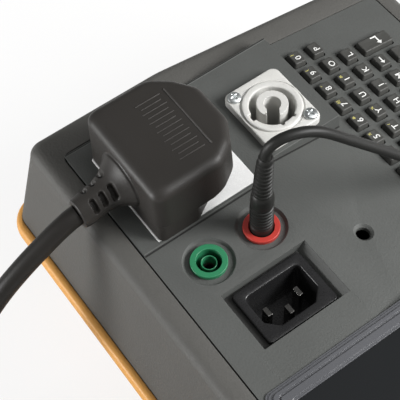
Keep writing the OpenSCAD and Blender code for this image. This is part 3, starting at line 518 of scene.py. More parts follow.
def makeRoundOutlet():
    # The flange with its collar and bore as one skin of rings by angle: up the body and over the flange,
    # across a shallow channel, over the collar, then down the bore, whose wall steps out at the keyways.
    o = roundOutlet
    angles = np.arange(720) * 2 * np.pi / 720
    rings = []

    def circle(radius, z):
        rings.append(flatRing(np.column_stack([radius * np.cos(angles), radius * np.sin(angles)]), z))

    def notch(centre, width):
        off = np.abs((np.degrees(angles) - centre + 180) % 360 - 180)
        return 1 / (1 + np.exp((off - width / 2) / 0.35))

    keyed = o["bore"] + sum(depth * notch(centre, width) for centre, width, depth in o["keyways"])
    top, (width, depth) = o["thick"], o["flange"]
    circle(o["collarRadius"] - 0.5, -o["deep"])
    circle(o["collarRadius"] - 0.5, 0)
    for inset, z in ((0.15, 0), (0, 0.15), (0, top - 0.6), (0.08, top - 0.3), (0.3, top - 0.08), (0.6, top)):
        outline = roundedOutline(width - 2 * inset, depth - 2 * inset, o["flangeCorner"] - inset, 40, 90)
        rings.append(rayRing(outline, angles, z))
    for grow, z in ((0.85, 0), (0.7, -0.12), (0.55, -0.35), (0.12, -0.35), (0, -0.2), (0, 0.35),
                    (-0.15, 0.62), (-0.4, 0.76), (-0.8, 0.8)):
        circle(o["collarRadius"] + grow, top + z)
    for grow, z in ((0.75, 0.8), (0.35, 0.72), (0.1, 0.52), (0, 0.2), (0, -10), (0, 2 - o["deep"] - top)):
        circle(keyed + grow, top + z)
    return addLoft("roundOutletSkin", rings, 38, (o["x"], o["y"], platformTop))


def makeRoundCore():
    # The core: a round post with a hole, opened by a slot to one side that has a small keyway in its wall.
    # The outline runs round the post from one side of the slot to the other and back round the hole.
    o = roundOutlet
    half, turn = o["slot"] / 2, np.radians(o["slotTurn"])
    outer, inner = np.arcsin(half / o["core"]), np.arcsin(half / o["hole"])
    outerTurn = np.linspace(turn + outer, turn + 2 * np.pi - outer, 84)
    innerTurn = np.linspace(turn + 2 * np.pi - inner, turn + inner, 48)
    near, far, deep = o["key"]
    key = np.array([[far, -half], [far, -half - deep], [near, -half - deep], [near, -half]])
    key = np.column_stack([key[:, 0] * np.cos(turn) - key[:, 1] * np.sin(turn),
                           key[:, 0] * np.sin(turn) + key[:, 1] * np.cos(turn)])
    outline = np.vstack([o["core"] * np.column_stack([np.cos(outerTurn), np.sin(outerTurn)]), key,
                         o["hole"] * np.column_stack([np.cos(innerTurn), np.sin(innerTurn)])])
    verts, faces = prismParts(outline, 2.02 - o["deep"], o["coreUp"])
    thing = addMesh("roundCoreSkin", verts + np.array([o["x"], o["y"], platformTop]), faces, 35)
    softenEdges(thing, o["coreRound"], 3)
    return thing


def makeInlet():
    # Three-pin inlet: a flange with round edges on a body, and a cavity with two cut corners and two round
    # ones. Rings by angle run up the body, over the flange, across its face and down the cavity.
    o = inlet
    angles = np.arange(600) * 2 * np.pi / 600
    x, y = o["cavity"]
    hexagon = [(x, -y), (x, y), (o["cut"] - x, y), (-x, y - o["cut"]), (-x, o["cut"] - y), (o["cut"] - x, -y)]
    cavity = roundedPolygon(hexagon, o["cavityRounds"], 900)
    rings = [rayRing(roundedOutline(*o["body"], 1, 30, 80), angles, z) for z in (-o["deep"] - 1.9, -2.6)]
    width, depth = o["flange"]
    for inset, z in ((0, -2.5), (0, -0.7), (0.1, -0.35), (0.3, -0.12), (0.7, 0)):
        outline = roundedOutline(width - 2 * inset, depth - 2 * inset, o["flangeCorner"] - inset, 30, 80)
        rings.append(rayRing(outline, angles, z))
    for grow, z in ((0.75, 0), (0.4, -0.1), (0.15, -0.3), (0.05, -0.7), (0, -1.2), (0, -o["deep"])):
        rings.append(rayRing(cavity * (1 + grow / np.hypot(*cavity.T))[:, None], angles, z))
    return addLoft("inletSkin", rings, 38, (o["x"], o["y"], case["panelHeight"] - o["drop"]))


def makeInletPaintedShade():
    # A thin dark sheet on the well's floor, round the inlet's flange, as painted shade in the gap: a closed
    # ring of four edges.
    o = inlet
    angles = np.arange(240) * 2 * np.pi / 240
    outer = roundedOutline(o["well"][0] - 0.1, o["well"][1], 0.5, 12, 60)
    inner = roundedOutline(o["body"][0] + 0.6, o["body"][1] + 0.6, 0.5, 12, 60)
    inner = inner + np.array([0, o["y"] - o["wellY"]])
    edges = ((outer, 0), (outer, o["shadeThick"]), (inner, o["shadeThick"]), (inner, 0))
    rings = [rayRing(outline, angles, z) for outline, z in edges]
    return addLoft("inletPaintedShade", rings, 30, (o["x"], o["wellY"], case["panelHeight"] - o["shadeLow"]), True)


def makeOutletScrews():
    # Two pan head screws: a shank and a low dome by rings. The cross is pressed in where a point is near
    # one of two axes, turned with the screw, and is deepest at its middle.
    o, s = roundOutlet, screws
    parts = []
    for sideways, turn in zip((-1, 1), s["turns"]):
        rings = spin([(s["shank"], -s["shankLong"]), (s["shank"], 0.02), (s["head"] - 0.08, 0.02),
                      (s["head"], 0.12), (s["head"], s["rim"])], 96)
        radius = np.linspace(s["head"] - 0.02, 0.03, 44)
        height = s["rim"] + 0.05 + s["dome"] * np.sqrt(1 - (radius / (s["head"] + 0.02)) ** 2)
        dome = spin(np.column_stack([radius, height]), 96)
        u = dome[..., 0] * np.cos(turn) + dome[..., 1] * np.sin(turn)
        v = dome[..., 1] * np.cos(turn) - dome[..., 0] * np.sin(turn)
        along, across = np.maximum(np.abs(u), np.abs(v)), np.minimum(np.abs(u), np.abs(v))
        narrow = 1 + np.exp((across - s["cross"] + 0.06 * along) / 0.04)
        short = 1 + np.exp((along - s["crossReach"]) / 0.06)
        dome[..., 2] -= (s["crossDeep"] - 0.3 * along) / narrow / short
        verts, faces = loftParts(np.concatenate([rings, dome]))
        centre = np.array([o["x"] + sideways * s["apart"][0] / 2, o["y"] + sideways * s["apart"][1] / 2,
                           platformTop + o["thick"]])
        parts.append((verts + centre, faces))
    return addMesh("outletScrews", *joinParts(parts), 40)


def makeInletRamp():
    # The well's front wall slopes from the panel to the inlet's flange: a five-cornered section across X.
    o, top = inlet, case["panelHeight"]
    low, high, half = o["y"] - o["flange"][1] / 2 - 0.1, o["wellFront"] + 0.05, o["well"][0] / 2 - 0.05
    section = np.array([[high, top - 0.1], [high + 0.3, top - 0.4], [low, top - o["drop"] - 2.4],
                        [low, top - 5], [high, top - 5]])
    rings = [np.column_stack([np.full(5, x), section]) for x in (o["x"] - half, o["x"] + half)]
    return addLoft("inletRamp", rings, 30)


piece(makeRoundOutlet(), "outletPlastic", "case", "outlet_grey", "round_outlet")
piece(makeRoundCore(), "outletPlastic", "case", "outlet_grey", "round_outlet_core")
piece(makeOutletScrews(), "screwSteel", "case", "steel", "round_outlet_screws")
piece(makeInlet(), "blackPlastic", "case", "black_plastic", "test_inlet")
piece(makeInletRamp(), "panelPlastic", "case", "panel_grey")
# The dark sheet in the inlet's well is painted shade.
piece(makeInletPaintedShade(), "shadowPaint", "case", "black_plastic")

# node: bevel, segments, finish, body, slot
fittings = {
    "test_inlet_pins": (0.25, 2, "nickelPin", "case", "steel"),
    "supply_inlet": (0.3, 2, "blackPlastic", "case", "black_plastic"),
    "supply_pins": (0.25, 2, "nickelPin", "case", "steel"),
    "power_switch": (0.4, 2, "blackPlastic", "switch_body", "black_plastic"),
    "display_frame": (0.15, 2, "framePlastic", "case", "frame_grey"),
    "display_window": (0.1, 2, "windowPlastic", "case", "window_dark"),
    "bond_socket": (0.35, 3, "greenPlastic", "case", "green_plastic"),
    "probe_socket": (0.35, 3, "redPlastic", "case", "red_plastic"),
}
for node, (width, segments, finish, body, slotName) in fittings.items():
    piece(bevelledCopy(node, width, segments), finish, body, slotName, node)

# The platform's stepped left edge, its straight right edge, and the strips beside them, dark ones of painted
# shadow and light ones of painted highlight: near and far side, then the top above the edge
platform = {"left": [(58.5, 78.3), (58.5, 60), (58.5, 40), (58.5, 26.4), (58.5, 25.4), (58.5, 21.7),
                     (64.5, 16.2), (64.5, 0), (64.5, -18.5)],
            "right": [(113.7, -18.5), (113.7, 78.2)], "stripLow": -0.1,
            "shadowLeft": (0.05, 0.75, 0.04), "shadowRight": (-0.6, -0.15, 0.03),
            "highlightLeft": (-0.55, -0.2, 0.06), "highlightRight": (-1.05, -0.65, 0.06)}


def stripParts(path, strip):
    # A thin strip beside a path of points (x, y, z), from near to far on its right, mitred at the bends.
    near, far, high = strip
    path = np.asarray(path, float)
    ahead = np.diff(path[:, :2], axis=0)
    normal = np.column_stack([ahead[:, 1], -ahead[:, 0]]) / np.linalg.norm(ahead, axis=1)[:, None]
    before, after = np.vstack([normal[:1], normal]), np.vstack([normal, normal[-1:]])
    mitre = (before + after) / (1 + (before * after).sum(1))[:, None]
    corners = []
    for reach, z in ((near, platform["stripLow"]), (far, platform["stripLow"]), (far, high), (near, high)):
        corners.append(np.column_stack([path[:, :2] + mitre * reach, path[:, 2] + z]))
    return loftParts(np.stack(corners, 1))


def makePlatformPaintedStrips(name, leftHeight, left, right):
    # Strips of painted shadow and painted highlight along the platform's edges: the left one at a height for
    # each y, the right one at its top.
    leftPath = [(x, y, leftHeight(y)) for x, y in platform["left"]]
    rightPath = [(x, y, platformTop) for x, y in platform["right"]]
    return addMesh(name, *joinParts([stripParts(leftPath, left), stripParts(rightPath, right)]), 30)


# Dark strips at the foot of the platform's left step and on its top by the right edge: painted shadow lines.
piece(makePlatformPaintedStrips("platformShadowLine", panelTop, platform["shadowLeft"], platform["shadowRight"]),
      "shadowPaint", "case", "panel_grey")
# Light strips along the platform's top edges: a painted highlight for the lit step.
piece(makePlatformPaintedStrips("platformHighlightLine", lambda y: platformTop, platform["highlightLeft"], platform["highlightRight"]),
      "highlightPaint", "case", "panel_grey")
print("outlets made")

# Keys: five rows on the slope, counted from the rear, and columns 1 to 10 from left to right
keys = {"pitch": 9.9, "width": 6.9, "depth": 6.0, "height": 2.4, "round": 0.9, "dish": 0.18, "lastX": 101.1,
        "rowY": -25.8, "perRow": (10, 10, 9, 8, 8), "web": 1.0, "webSide": 1.0, "webGap": 0.2,
        "enterWebSide": 0.6}
# Where letters and marks lie on a key, their size, and how far they stand in and out of its top
legend = {"size": 3.875, "at": (-0.5, -0.55), "heavy": 0.03, "markSize": 2.28, "markAt": (1.7, 1.35),
          "markHeavy": 0.01, "under": 0.08, "thick": 0.04}
webTop = -panel["thick"] - 0.3
legends = [["1", "2", "3", "4", "5", "6", "7", "8", "9", "0"], list("QWERTYUIOP"), list("ASDFGHJKL"),
           ["Z", "X", "C", "V", "B", "N", "M", "←"]]
marks = ["!?#$%&@*()", "    /% &  ", "", ""]


def keyX(column):
    # Middle of a column across, counted back from the last one.
    return keys["lastX"] - (10 - column) * keys["pitch"]


def rowY(row):
    # Distance along the slope from the fold to a row of keys, negative towards the user.
    return -((case["fold"] - keys["rowY"]) / np.cos(np.radians(case["tilt"])) + (row - 1) * keys["pitch"])


def keyRings(width, depth):
    # One key: straight sides, leaning in towards a round shoulder, and a top that dips in the middle.
    high, dish = keys["height"], keys["dish"]
    rings = []
    for inset, z in ((0, webTop), (0, -0.2), (0.05, 0.2), (0.28, high - 0.55), (0.38, high - 0.22),
                     (0.58, high - 0.04), (0.85, high), (1.4, high - dish * 0.5)):
        radius = max(keys["round"] - inset * 0.5, 0.3)
        outline = roundedOutline(width - 2 * inset, depth - 2 * inset, radius, 5, 4)
        rings.append(flatRing(outline, z))
    outline = roundedOutline((width - 2.8) * 0.4, (depth - 2.8) * 0.4, 0.3, 5, 4)
    rings.append(flatRing(outline, high - dish))
    return np.array(rings)


def webParts(x0, x1, y0, y1):
    # The rubber web under one row's keys: a thin block.
    outline = np.array([[x1, y0], [x1, y1], [x0, y1], [x0, y0]], float)
    return loftParts([flatRing(outline, webTop - keys["web"]), flatRing(outline, webTop + 0.01)])


def keysOfRow(row):
    # (column, keys wide) of each key; the front row has two wide keys and two plain ones.
    if row < 5:
        return [(c, 1) for c in range(1, keys["perRow"][row - 1] + 1)]
    return [(1.5, 2), (4.5, 4), (7, 1), (8, 1)]


def makeKeyRow(row):
    # A row's keys and the web that joins them, laid on the slope.
    y = rowY(row)
    parts = []
    for column, wide in keysOfRow(row):
        verts, faces = loftParts(keyRings(keys["width"] + (wide - 1) * keys["pitch"], keys["depth"]))
        parts.append((verts + np.array([keyX(column), y, 0]), faces))
    side, half = keys["width"] / 2 + keys["webSide"], keys["pitch"] / 2 - keys["webGap"]
    parts.append(webParts(keyX(1) - side, keyX(keys["perRow"][row - 1]) + side, y - half, y + half))
    verts, faces = joinParts(parts)
    return addMesh("keyRow%d" % row, onSlope(verts), faces, 50)


def makeEnterKey():
    # The enter key is two rows high and has a web of its own.
    side, half = keys["pitch"] / 2 - keys["enterWebSide"], keys["pitch"] / 2 - keys["webGap"]
    verts, faces = loftParts(keyRings(keys["width"], keys["depth"] + keys["pitch"]))
    web = webParts(keyX(9) - side, keyX(9) + side, rowY(5) - half, rowY(4) + half)
    verts, faces = joinParts([(verts + np.array([keyX(9), enterY, 0]), faces), web])
    return addMesh("enterKey", onSlope(verts), faces, 50)


def glyphParts(text, size, x, y, z, heavy):
    # Verts and faces of a character as a thin block, centred on x, y, at height z.
    curve = bpy.data.curves.new("glyph", "FONT")
    curve.body = text
    curve.size = size
    curve.align_x = "CENTER"
    curve.align_y = "CENTER"
    curve.extrude = legend["thick"]
    curve.offset = heavy
    curve.resolution_u = 3
    thing = addThing("glyph", curve)
    bpy.context.view_layer.update()
    solid = thing.evaluated_get(bpy.context.evaluated_depsgraph_get()).to_mesh()
    verts = np.zeros(len(solid.vertices) * 3)
    solid.vertices.foreach_get("co", verts)
    faces = [list(p.vertices) for p in solid.polygons]
    thing.to_mesh_clear()
    bpy.data.objects.remove(thing)
    bpy.data.curves.remove(curve)
    return verts.reshape(-1, 3) + np.array([x, y, z]), faces


def arrowParts(x, y, z, scale=1.0, hook=False):
    # An arrow to the left as a thin block, with a rising tail if hook is true.
    if hook:
        outline = [(-1.9, 0), (-0.7, 1.0), (-0.7, 0.28), (1.3, 0.28), (1.3, 2.0), (1.85, 2.0), (1.85, -0.28),
                   (-0.7, -0.28), (-0.7, -1.0)]
    else:
        outline = [(-1.6, 0), (-0.5, 0.95), (-0.5, 0.25), (1.6, 0.25), (1.6, -0.25), (-0.5, -0.25),
                   (-0.5, -0.95)]
    flat = np.array(outline, float)[::-1] * scale + np.array([x, y])
    return prismParts(flat, z - legend["thick"], z + legend["thick"])


def legendParts(row):
    # The white letters of a row, and the yellow marks beside them.
    white, yellow = [], []
    for column, text in enumerate(legends[row - 1], 1):
        x, y = keyX(column), rowY(row)
        if text == "←":
            white.append(arrowParts(x, y, legendTop, 1.15))
        else:
            x0, y0 = legend["at"]
            white.append(glyphParts(text, legend["size"], x + x0, y + y0, legendTop, legend["heavy"]))
        mark = marks[row - 1][column - 1:column].strip()
        if mark:
            x0, y0 = legend["markAt"]
            yellow.append(glyphParts(mark, legend["markSize"], x + x0, y + y0, legendTop,
                                     legend["markHeavy"]))
    return white, yellow


legendTop = keys["height"] - legend["under"]
enterY = (rowY(4) + rowY(5)) / 2
for row in range(1, 6):
    piece(makeKeyRow(row), "keyRubber", "key_row_%d_body" % row, "key_rubber", "key_row_%d" % row)
for row in range(1, 5):
    for name, parts in zip(("White", "Yellow"), legendParts(row)):
        if parts:
            verts, faces = joinParts(parts)
            piece(addMesh("keyLegend%s%d" % (name, row), onSlope(verts), faces), "legend" + name,
                  "key_row_%d_body" % row, "key_rubber")
piece(makeEnterKey(), "keyRubber", "enter_key_body", "key_rubber", "enter_key")
verts, faces = arrowParts(keyX(9), enterY - 1.5, legendTop, 1.3, hook=True)
piece(addMesh("enterLegend", onSlope(verts), faces), "legendWhite", "enter_key_body", "key_rubber")

# node: bevel, finish, slot; each rides on a body of its own
buttons = {"function_key_%d" % i: (0.5, "paleKeyRubber", "pale_key") for i in range(1, 5)}
buttons["start_button"] = (0.7, "greenPlastic", "green_plastic")
buttons["stop_button"] = (0.7, "redPlastic", "red_plastic")
for node, (width, finish, slotName) in buttons.items():
    piece(bevelledCopy(node, width, 3), finish, node + "_body", slotName, node)
print("keys made")

# Mains plug: outline about its pins, with the front towards negative y; heights from its base
plug = {"rear": 70.7, "base": 99.0, "height": 28.5, "edge": 4.0, "lowerEdge": 2.2, "lean": 1.1,
        "halfWidth": 24.85, "behind": 22.7, "front": -20.5, "chamfer": -6.5, "nose": 9,
        "shoulder": (19.5, -14.8), "skew": 0.8, "setBack": 11.8, "setIn": 0.8, "gripLow": 8.9,
        "crown": 0.3, "crownMiddle": (0.0, 1.5)}
ribs = {"x": 68.4, "step": 2.36, "count": 13, "wide": 0.48, "long": ((42.9, 53.7), (43.9, 52.7)),
        "line": (67.5, 97.7, 40.1, 40.75), "base": 0.16, "round": 0.09}
relief = {"length": 19.8, "z": 107.3, "rise": 5.7, "sunk": 2.5, "radius": 6.35, "bellWide": 6.0,
          "bellTall": 3.9, "bellLength": 4.3, "slots": (6.4, 10.4, 14.4),
          "slotTurns": (43, 133, 223, 313), "slotHalf": 2.1, "slotDeep": 0.38, "seam": 0.022}


def plugOutline(halfWidth, rear, front, chamfer, nose, shoulder, sharp, inward, count=160):
    # Six-cornered plug outline with rounded corners, counterclockwise, sampled evenly by length. The
    # corners of the sides get sharper as sharp goes from 0 to 1, and every side moves in by inward.
    skew = plug["skew"]
    corners = np.array([(halfWidth, chamfer + skew), (halfWidth, rear), (-halfWidth, rear),
                        (-halfWidth, chamfer), (-shoulder[0], shoulder[1]), (-nose, front), (nose, front),
                        (shoulder[0] - skew, shoulder[1] + skew)], float)
    ahead = np.roll(corners, -1, 0) - corners
    normal = np.column_stack([-ahead[:, 1], ahead[:, 0]]) / np.linalg.norm(ahead, axis=1)[:, None]
    before = np.roll(normal, 1, 0)
    corners += inward * (before + normal) / (1 + (before * normal).sum(1))[:, None]
    atRear, atSide = 5.2 - 2.4 * sharp, 9 - 6 * sharp
    radii = np.maximum(np.array([atSide, atRear, atRear, atSide, 9, 7, 7, 9]) - 0.6 * inward, 1.0)
    return roundedPolygon(corners, radii, count)


def makePlug():
    # A skin through plug outlines: the lower body is narrower and stands back under the grip at the front,
    # whose lower edge is round; the sides lean in a little, and a round edge leads on to a nearly flat top.
    height, edge, lower, gripLow = plug["height"], plug["edge"], plug["lowerEdge"], plug["gripLow"]
    rings = []

    def ring(z, under, inward=0.0, lowerEdge=0.0):
        # under runs from 1 on the lower body to 0 on the grip; lowerEdge draws the front of it in.
        lean = plug["lean"] * min(z / (height - edge), 1)
        back, narrow = plug["setBack"] * under, 0.5 * under
        sideways, forwards = plug["shoulder"]
        outline = plugOutline(plug["halfWidth"] - lean - plug["setIn"] * under,
                              plug["behind"] - 0.35 * under - 0.3 * lean - 0.5 * inward,
                              plug["front"] + back + lean, plug["chamfer"] + back + lean * 0.3,
                              plug["nose"] - narrow,
                              (sideways - lean - narrow, forwards + back + lean * 0.7), under, inward)
        ahead = np.roll(outline, -1, 0) - np.roll(outline, 1, 0)
        outward = np.column_stack([ahead[:, 1], -ahead[:, 0]]) / np.linalg.norm(ahead, axis=1)[:, None]
        towardsFront = np.clip((-outline[:, 1:] - 1) / 9, 0, 1)
        outline = outline - outward * lowerEdge * towardsFront * towardsFront * (3 - 2 * towardsFront)
        rings.append(flatRing(outline, z))

    for z in np.linspace(0, gripLow - 0.5, 8):
        ring(z, 1)
    for under in (0.98, 0.9, 0.7, 0.4, 0.1, 0):
        ring(gripLow - 0.45 * under, under, 0, lower * (1 - under))
    for angle in np.radians(np.linspace(12, 90, 8)):
        ring(gripLow + lower * (1 - np.cos(angle)), 0, 0, lower * (1 - np.sin(angle)))
    for z in np.linspace(gripLow + lower + 1.1, height - edge, 10):
        ring(z, 0)
    for angle in np.radians(np.linspace(9, 90, 10)):
        ring(height - edge + edge * np.sin(angle), 0, edge * (1 - np.cos(angle)))
    flat = rings[-1][:, :2]
    middle = np.array(plug["crownMiddle"])
    for share in (0.97, 0.8, 0.5, 0.2):
        inner = middle + (flat - middle) * share
        rings.append(flatRing(inner, height + plug["crown"] * (1 - share ** 2)))
    return addLoft("plugSkin", rings, 55, (outlet["x"], outlet["y"], plug["base"]))


def makePlugRibs():
    # The plain ribbed field on top: a low line across its front edge and thirteen fine ribs running to the
    # rear, long and short by turns. Each is a rounded block that narrows to its top.
    top = plug["base"] + plug["height"] + ribs["base"]
    parts = []

    def rib(x0, x1, y0, y1):
        rings = []
        for inset, z in ((0, -0.4), (0.03, 0.18), (0.14, 0.32)):
            outline = roundedOutline(x1 - x0 - 2 * inset, y1 - y0 - 2 * inset, ribs["round"], 3, 2)
            outline = outline + np.array([(x0 + x1) / 2, (y0 + y1) / 2])
            rings.append(flatRing(outline, top + z))
        parts.append(loftParts(rings))

    rib(*ribs["line"])
    for i in range(ribs["count"]):
        x, half = ribs["x"] + i * ribs["step"], ribs["wide"] / 2
        rib(x - half, x + half, *ribs["long"][i % 2])
    return addMesh("plugRibs", *joinParts(parts), 50)


def reliefShape(y):
    # Half width, half height and height of the axis of the strain relief at distance y behind the plug: a
    # bell that dies away, a collar that slims at its end and a fine crease where it meets the plug.
    r = relief
    bell = np.exp(-(np.maximum(y, 0) / r["bellLength"]) ** 1.35)
    share = np.clip(1 - y / r["length"], 0, 1)
    slim = 0.55 * np.clip((y - 15) / 4.8, 0, 1) ** 2
    crease = 0.35 * np.exp(-((y - 0.35) / 0.45) ** 2)
    radius = r["radius"] - slim - crease
    return radius + r["bellWide"] * bell, radius + r["bellTall"] * bell, r["rise"] * share ** 1.25


def makeRelief():
    # Strain relief: a wide bell at the plug that narrows to a collar and droops with the lead, with three
    # rounded slots pressed in along each of four sides and a fine mould seam along both flanks.
    r = relief
    along = np.linspace(-r["sunk"], r["length"], 150)
    around = np.arange(160) * 2 * np.pi / 160
    wide, tall, rise = reliefShape(along)
    y, phi = np.meshgrid(along, around, indexing="ij")
    depth = np.zeros_like(y)
    for centre in np.radians(r["slotTurns"]):
        off = np.abs((phi - centre + np.pi) % (2 * np.pi) - np.pi) * 6.4
        for start in r["slots"]:
            away = np.hypot(np.maximum(off - r["slotHalf"], 0), y - start)
            depth = np.maximum(depth, 1 / (1 + np.exp((away - 1.0) / 0.085)))
    seam = np.exp(-((np.abs((phi + np.pi / 2) % np.pi - np.pi / 2)) / 0.028) ** 2) * (1 - depth)
    grow = 1 - r["slotDeep"] * depth + r["seam"] * seam
    across, height = wide[:, None] * np.cos(phi) * grow, tall[:, None] * np.sin(phi) * grow
    verts = np.stack([across, y, height + rise[:, None]], -1)
    endRings = []
    for inset in (0.5, 1.0):
        ring = verts[-1].copy()
        ring[:, [0, 2]] *= 1 - inset * 0.11
        ring[:, 1] = r["length"] + 0.3 * inset
        endRings.append(ring)
    grid = np.concatenate([verts, np.array(endRings)])[:, ::-1]
    return addLoft("plugReliefSkin", grid, 60, (outlet["x"], plug["rear"] - 0.3, r["z"]))


plugSkin = piece(makePlug(), "plugRubber", "case", "cord_black", "plug_body")
# The ribs take a lighter copy of the plug's rubber as a painted highlight.
plugRibs = piece(makePlugRibs(), "ribHighlightRubber", "case", "cord_black")
reliefSkin = piece(makeRelief(), "plugRubber", "case", "cord_black", "plug_relief")
print("plug made")

# Leads: the route's points as given, then a coil of turns that each have a radius and a height, then a tail
mainLead = {"diameter": 8.0, "route": [
    (83, 90.5, 107.3), (83, 92, 107.3), (83, 98.5, 104.9), (83, 107, 100.5), (83, 117, 94.5), (83, 127, 87),
    (83, 136, 77.5), (83, 143, 65), (83, 148, 51), (83, 150, 40), (83, 152.7, 26.5), (83, 160.5, 15),
    (83, 172, 7), (83, 186, 4.1), (83, 206, 4.1)],
    "coil": (28, 206), "radii": (55, 47, 39, 39, 47, 55), "heights": (4.1, 4.1, 4.1, 12.1, 12.1, 12.1),
    "turns": 5.5, "startAngle": 0.0,
    "tail": [(-27, 206, 12.1), (-27, 196, 12), (-27, 186, 11), (-27, 178, 9), (-27, 171, 8), (-27, 168, 8)]}
probeLead = {"diameter": 4.0, "route": [
    (43, 35.6, 143), (43, 35.4, 145), (42.5, 34.2, 148.4), (41.2, 31, 151.4), (39.8, 26, 152),
    (38, 20, 150.4), (36, 14, 146.4), (33, 5, 137.6), (30, -5, 127.5), (27, -14, 118.5), (24, -23, 110.5),
    (21.4, -32, 103.6), (18.6, -41, 98.2), (15.4, -50, 94.6), (12, -59, 92.2), (8.4, -68, 89.6),
    (4.6, -77, 86.8), (1, -86, 84.4), (-2.4, -94, 81.6), (-6, -101, 76.6), (-9, -106, 69),
    (-11.4, -109, 60), (-13.4, -111, 50), (-15.4, -113, 40), (-17.6, -115, 30), (-20.4, -117.5, 20),
    (-24, -120, 11.5), (-28, -124, 5.4), (-31, -130, 2.6), (-32, -142, 2.1)],
    "coil": (-6, -142), "radii": (26, 22, 18, 18, 22, 26), "heights": (2.1, 2.1, 2.1, 6.1, 6.1, 6.1),
    "turns": 5.25, "startAngle": np.pi,
    "tail": [(-6, -168, 6.1), (0, -168, 6.1), (8, -168, 6.2), (14, -168, 6.8), (19, -168, 7), (22, -168, 7)]}


def smoothLine(points, spacing):
    # A Catmull-Rom curve through the points, whose slope at each is half the step from the one before it to
    # the one after it, sampled again at even spacing.
    p = np.asarray(points, float)
    q = np.vstack([2 * p[0] - p[1], p, 2 * p[-1] - p[-2]])
    t = np.linspace(0, 1, 16, endpoint=False)[:, None]
    out = []
    for before, here, after, beyond in zip(q[:-3], q[1:-2], q[2:-1], q[3:]):
        bend = 2 * before - 5 * here + 4 * after - beyond
        twist = 3 * here - before - 3 * after + beyond
        out.append(0.5 * (2 * here + (after - before) * t + bend * t ** 2 + twist * t ** 3))
    return evenLine(np.vstack(out + [p[-1:]]), spacing)


def evenLine(line, spacing):
    # The same line with its points evenly spaced along its length.
    run = np.concatenate([[0], np.cumsum(np.linalg.norm(np.diff(line, axis=0), axis=1))])
    even = np.linspace(0, run[-1], max(int(run[-1] / spacing), 2) + 1)
    return np.column_stack([np.interp(even, run, line[:, k]) for k in range(3)])


def coilLine(lead, ramp=0.12, steps=160):
    # Turns of a coil: radius and height hold for most of a turn, then ease over to the next one's by
    # three times the square less twice the cube of the share of the way.
    angle = np.linspace(0, lead["turns"], int(lead["turns"] * steps) + 1)
    radii, heights = np.array(lead["radii"], float), np.array(lead["heights"], float)
    whole = np.minimum(np.floor(angle + 1e-9).astype(int), len(radii) - 1)
    into = np.clip((angle - whole - (1 - ramp)) / ramp, 0, 1)
    ease = into * into * (3 - 2 * into)
    nextTurn = np.minimum(whole + 1, len(radii) - 1)
    radius = radii[whole] + (radii[nextTurn] - radii[whole]) * ease
    height = heights[whole] + (heights[nextTurn] - heights[whole]) * ease
    theta, (x, y) = lead["startAngle"] + angle * 2 * np.pi, lead["coil"]
    return np.column_stack([x + radius * np.cos(theta), y + radius * np.sin(theta), height])


def tubeParts(line, diameter, count=20):
    # A tube round a line: rings square to it, each carried on from the one before, without a twist.
    ahead = np.gradient(line, axis=0)
    ahead /= np.linalg.norm(ahead, axis=1)[:, None]
    side = np.zeros_like(line)
    side[0] = np.cross(ahead[0], (1, 0, 0))
    side[0] /= np.linalg.norm(side[0])
    for i in range(1, len(line)):
        side[i] = side[i - 1] - ahead[i] * (side[i - 1] @ ahead[i])
        side[i] /= np.linalg.norm(side[i])
    other = np.cross(ahead, side)
    angle = (np.arange(count) * 2 * np.pi / count)[:, None]
    rings = line[:, None] + diameter / 2 * (np.cos(angle) * side[:, None] + np.sin(angle) * other[:, None])
    return loftParts(rings)


def makeLead(name, lead):
    # One even line through the route, the turns of the coil and the tail, with a tube round it; also its
    # length and its points in metres.
    spacing = lead["diameter"] * 0.4
    route, tail = smoothLine(lead["route"], spacing), smoothLine(lead["tail"], spacing)
    line = evenLine(np.vstack([route[:-1], coilLine(lead), tail[1:]]), spacing)
    thing = addMesh(name, *tubeParts(line, lead["diameter"]), 60)
    length = np.linalg.norm(np.diff(line, axis=0), axis=1).sum()
    print(name, "is", round(length, 1), "mm long")
    return thing, length * mm, (line * mm).tolist()


testLead, testLeadLength, testLeadLine = makeLead("testLeadCord", mainLead)
probeCord, probeCordLength, probeCordLine = makeLead("probeLeadCord", probeLead)

# What is on the leads. connector sections: distance along, width, height, corner radius; turned profiles:
# radius, distance along
connector = {"sections": [
    (0, 9.4, 9.4, 4.6), (2, 10.4, 10.4, 5), (18, 12.6, 12.2, 5.4), (20.5, 20, 13.6, 4), (22, 26, 15.2, 3.2),
    (23.4, 27, 15.8, 3), (31.6, 27, 15.8, 3), (32.4, 26.4, 15.2, 2.8), (32.5, 23.2, 15.0, 1.6),
    (48.5, 23.2, 15.0, 1.4), (49, 22.6, 14.4, 1.2)]}
probePlug = {"place": (43, 36.5), "above": 0.8, "leanFrom": 14, "leanOver": 30, "lean": 1.2,
             "shroud": [(0.2, -17.8), (4.3, -17.8), (4.4, -0.4), (4.4, 2.6)],
             "gripRings": 6, "gripFrom": 3, "gripStep": 2.05,
             "gripRing": [(4.0, 0), (4.45, 0.3), (4.5, 0.9), (4.4, 1.25), (4.0, 1.5)],
             "belly": [(4.1, 15.4), (4.35, 17), (4.45, 18.8), (4.35, 20.4), (4.1, 21.8), (3.7, 22.6)],
             "bootRings": 9, "bootFrom": 23.1, "bootStep": 2.1, "bootRadius": 3.75, "bootTaper": 0.085,
             "bootRing": [(-0.35, 0), (0, 0.3), (0, 1.0), (-0.35, 1.3)],
             "end": [(2.7, 42.4), (2.65, 43.8), (2.3, 44.2), (0.2, 44.2)]}
probeHandle = {"nose": [(0.2, 0), (3.2, 0), (3.4, 0.8), (5.3, 9.5), (5.8, 11), (5.9, 14)],
               "rings": 10, "from": 15, "step": 3.6, "ring": [(5.9, 0), (6.45, 0.5), (6.45, 1.7), (5.9, 2.2)],
               "guard": [(5.9, 58), (7, 59.6), (7, 62.4), (5.6, 63.4), (4.6, 68), (3.2, 75), (2.9, 77),
                         (0.2, 77)]}


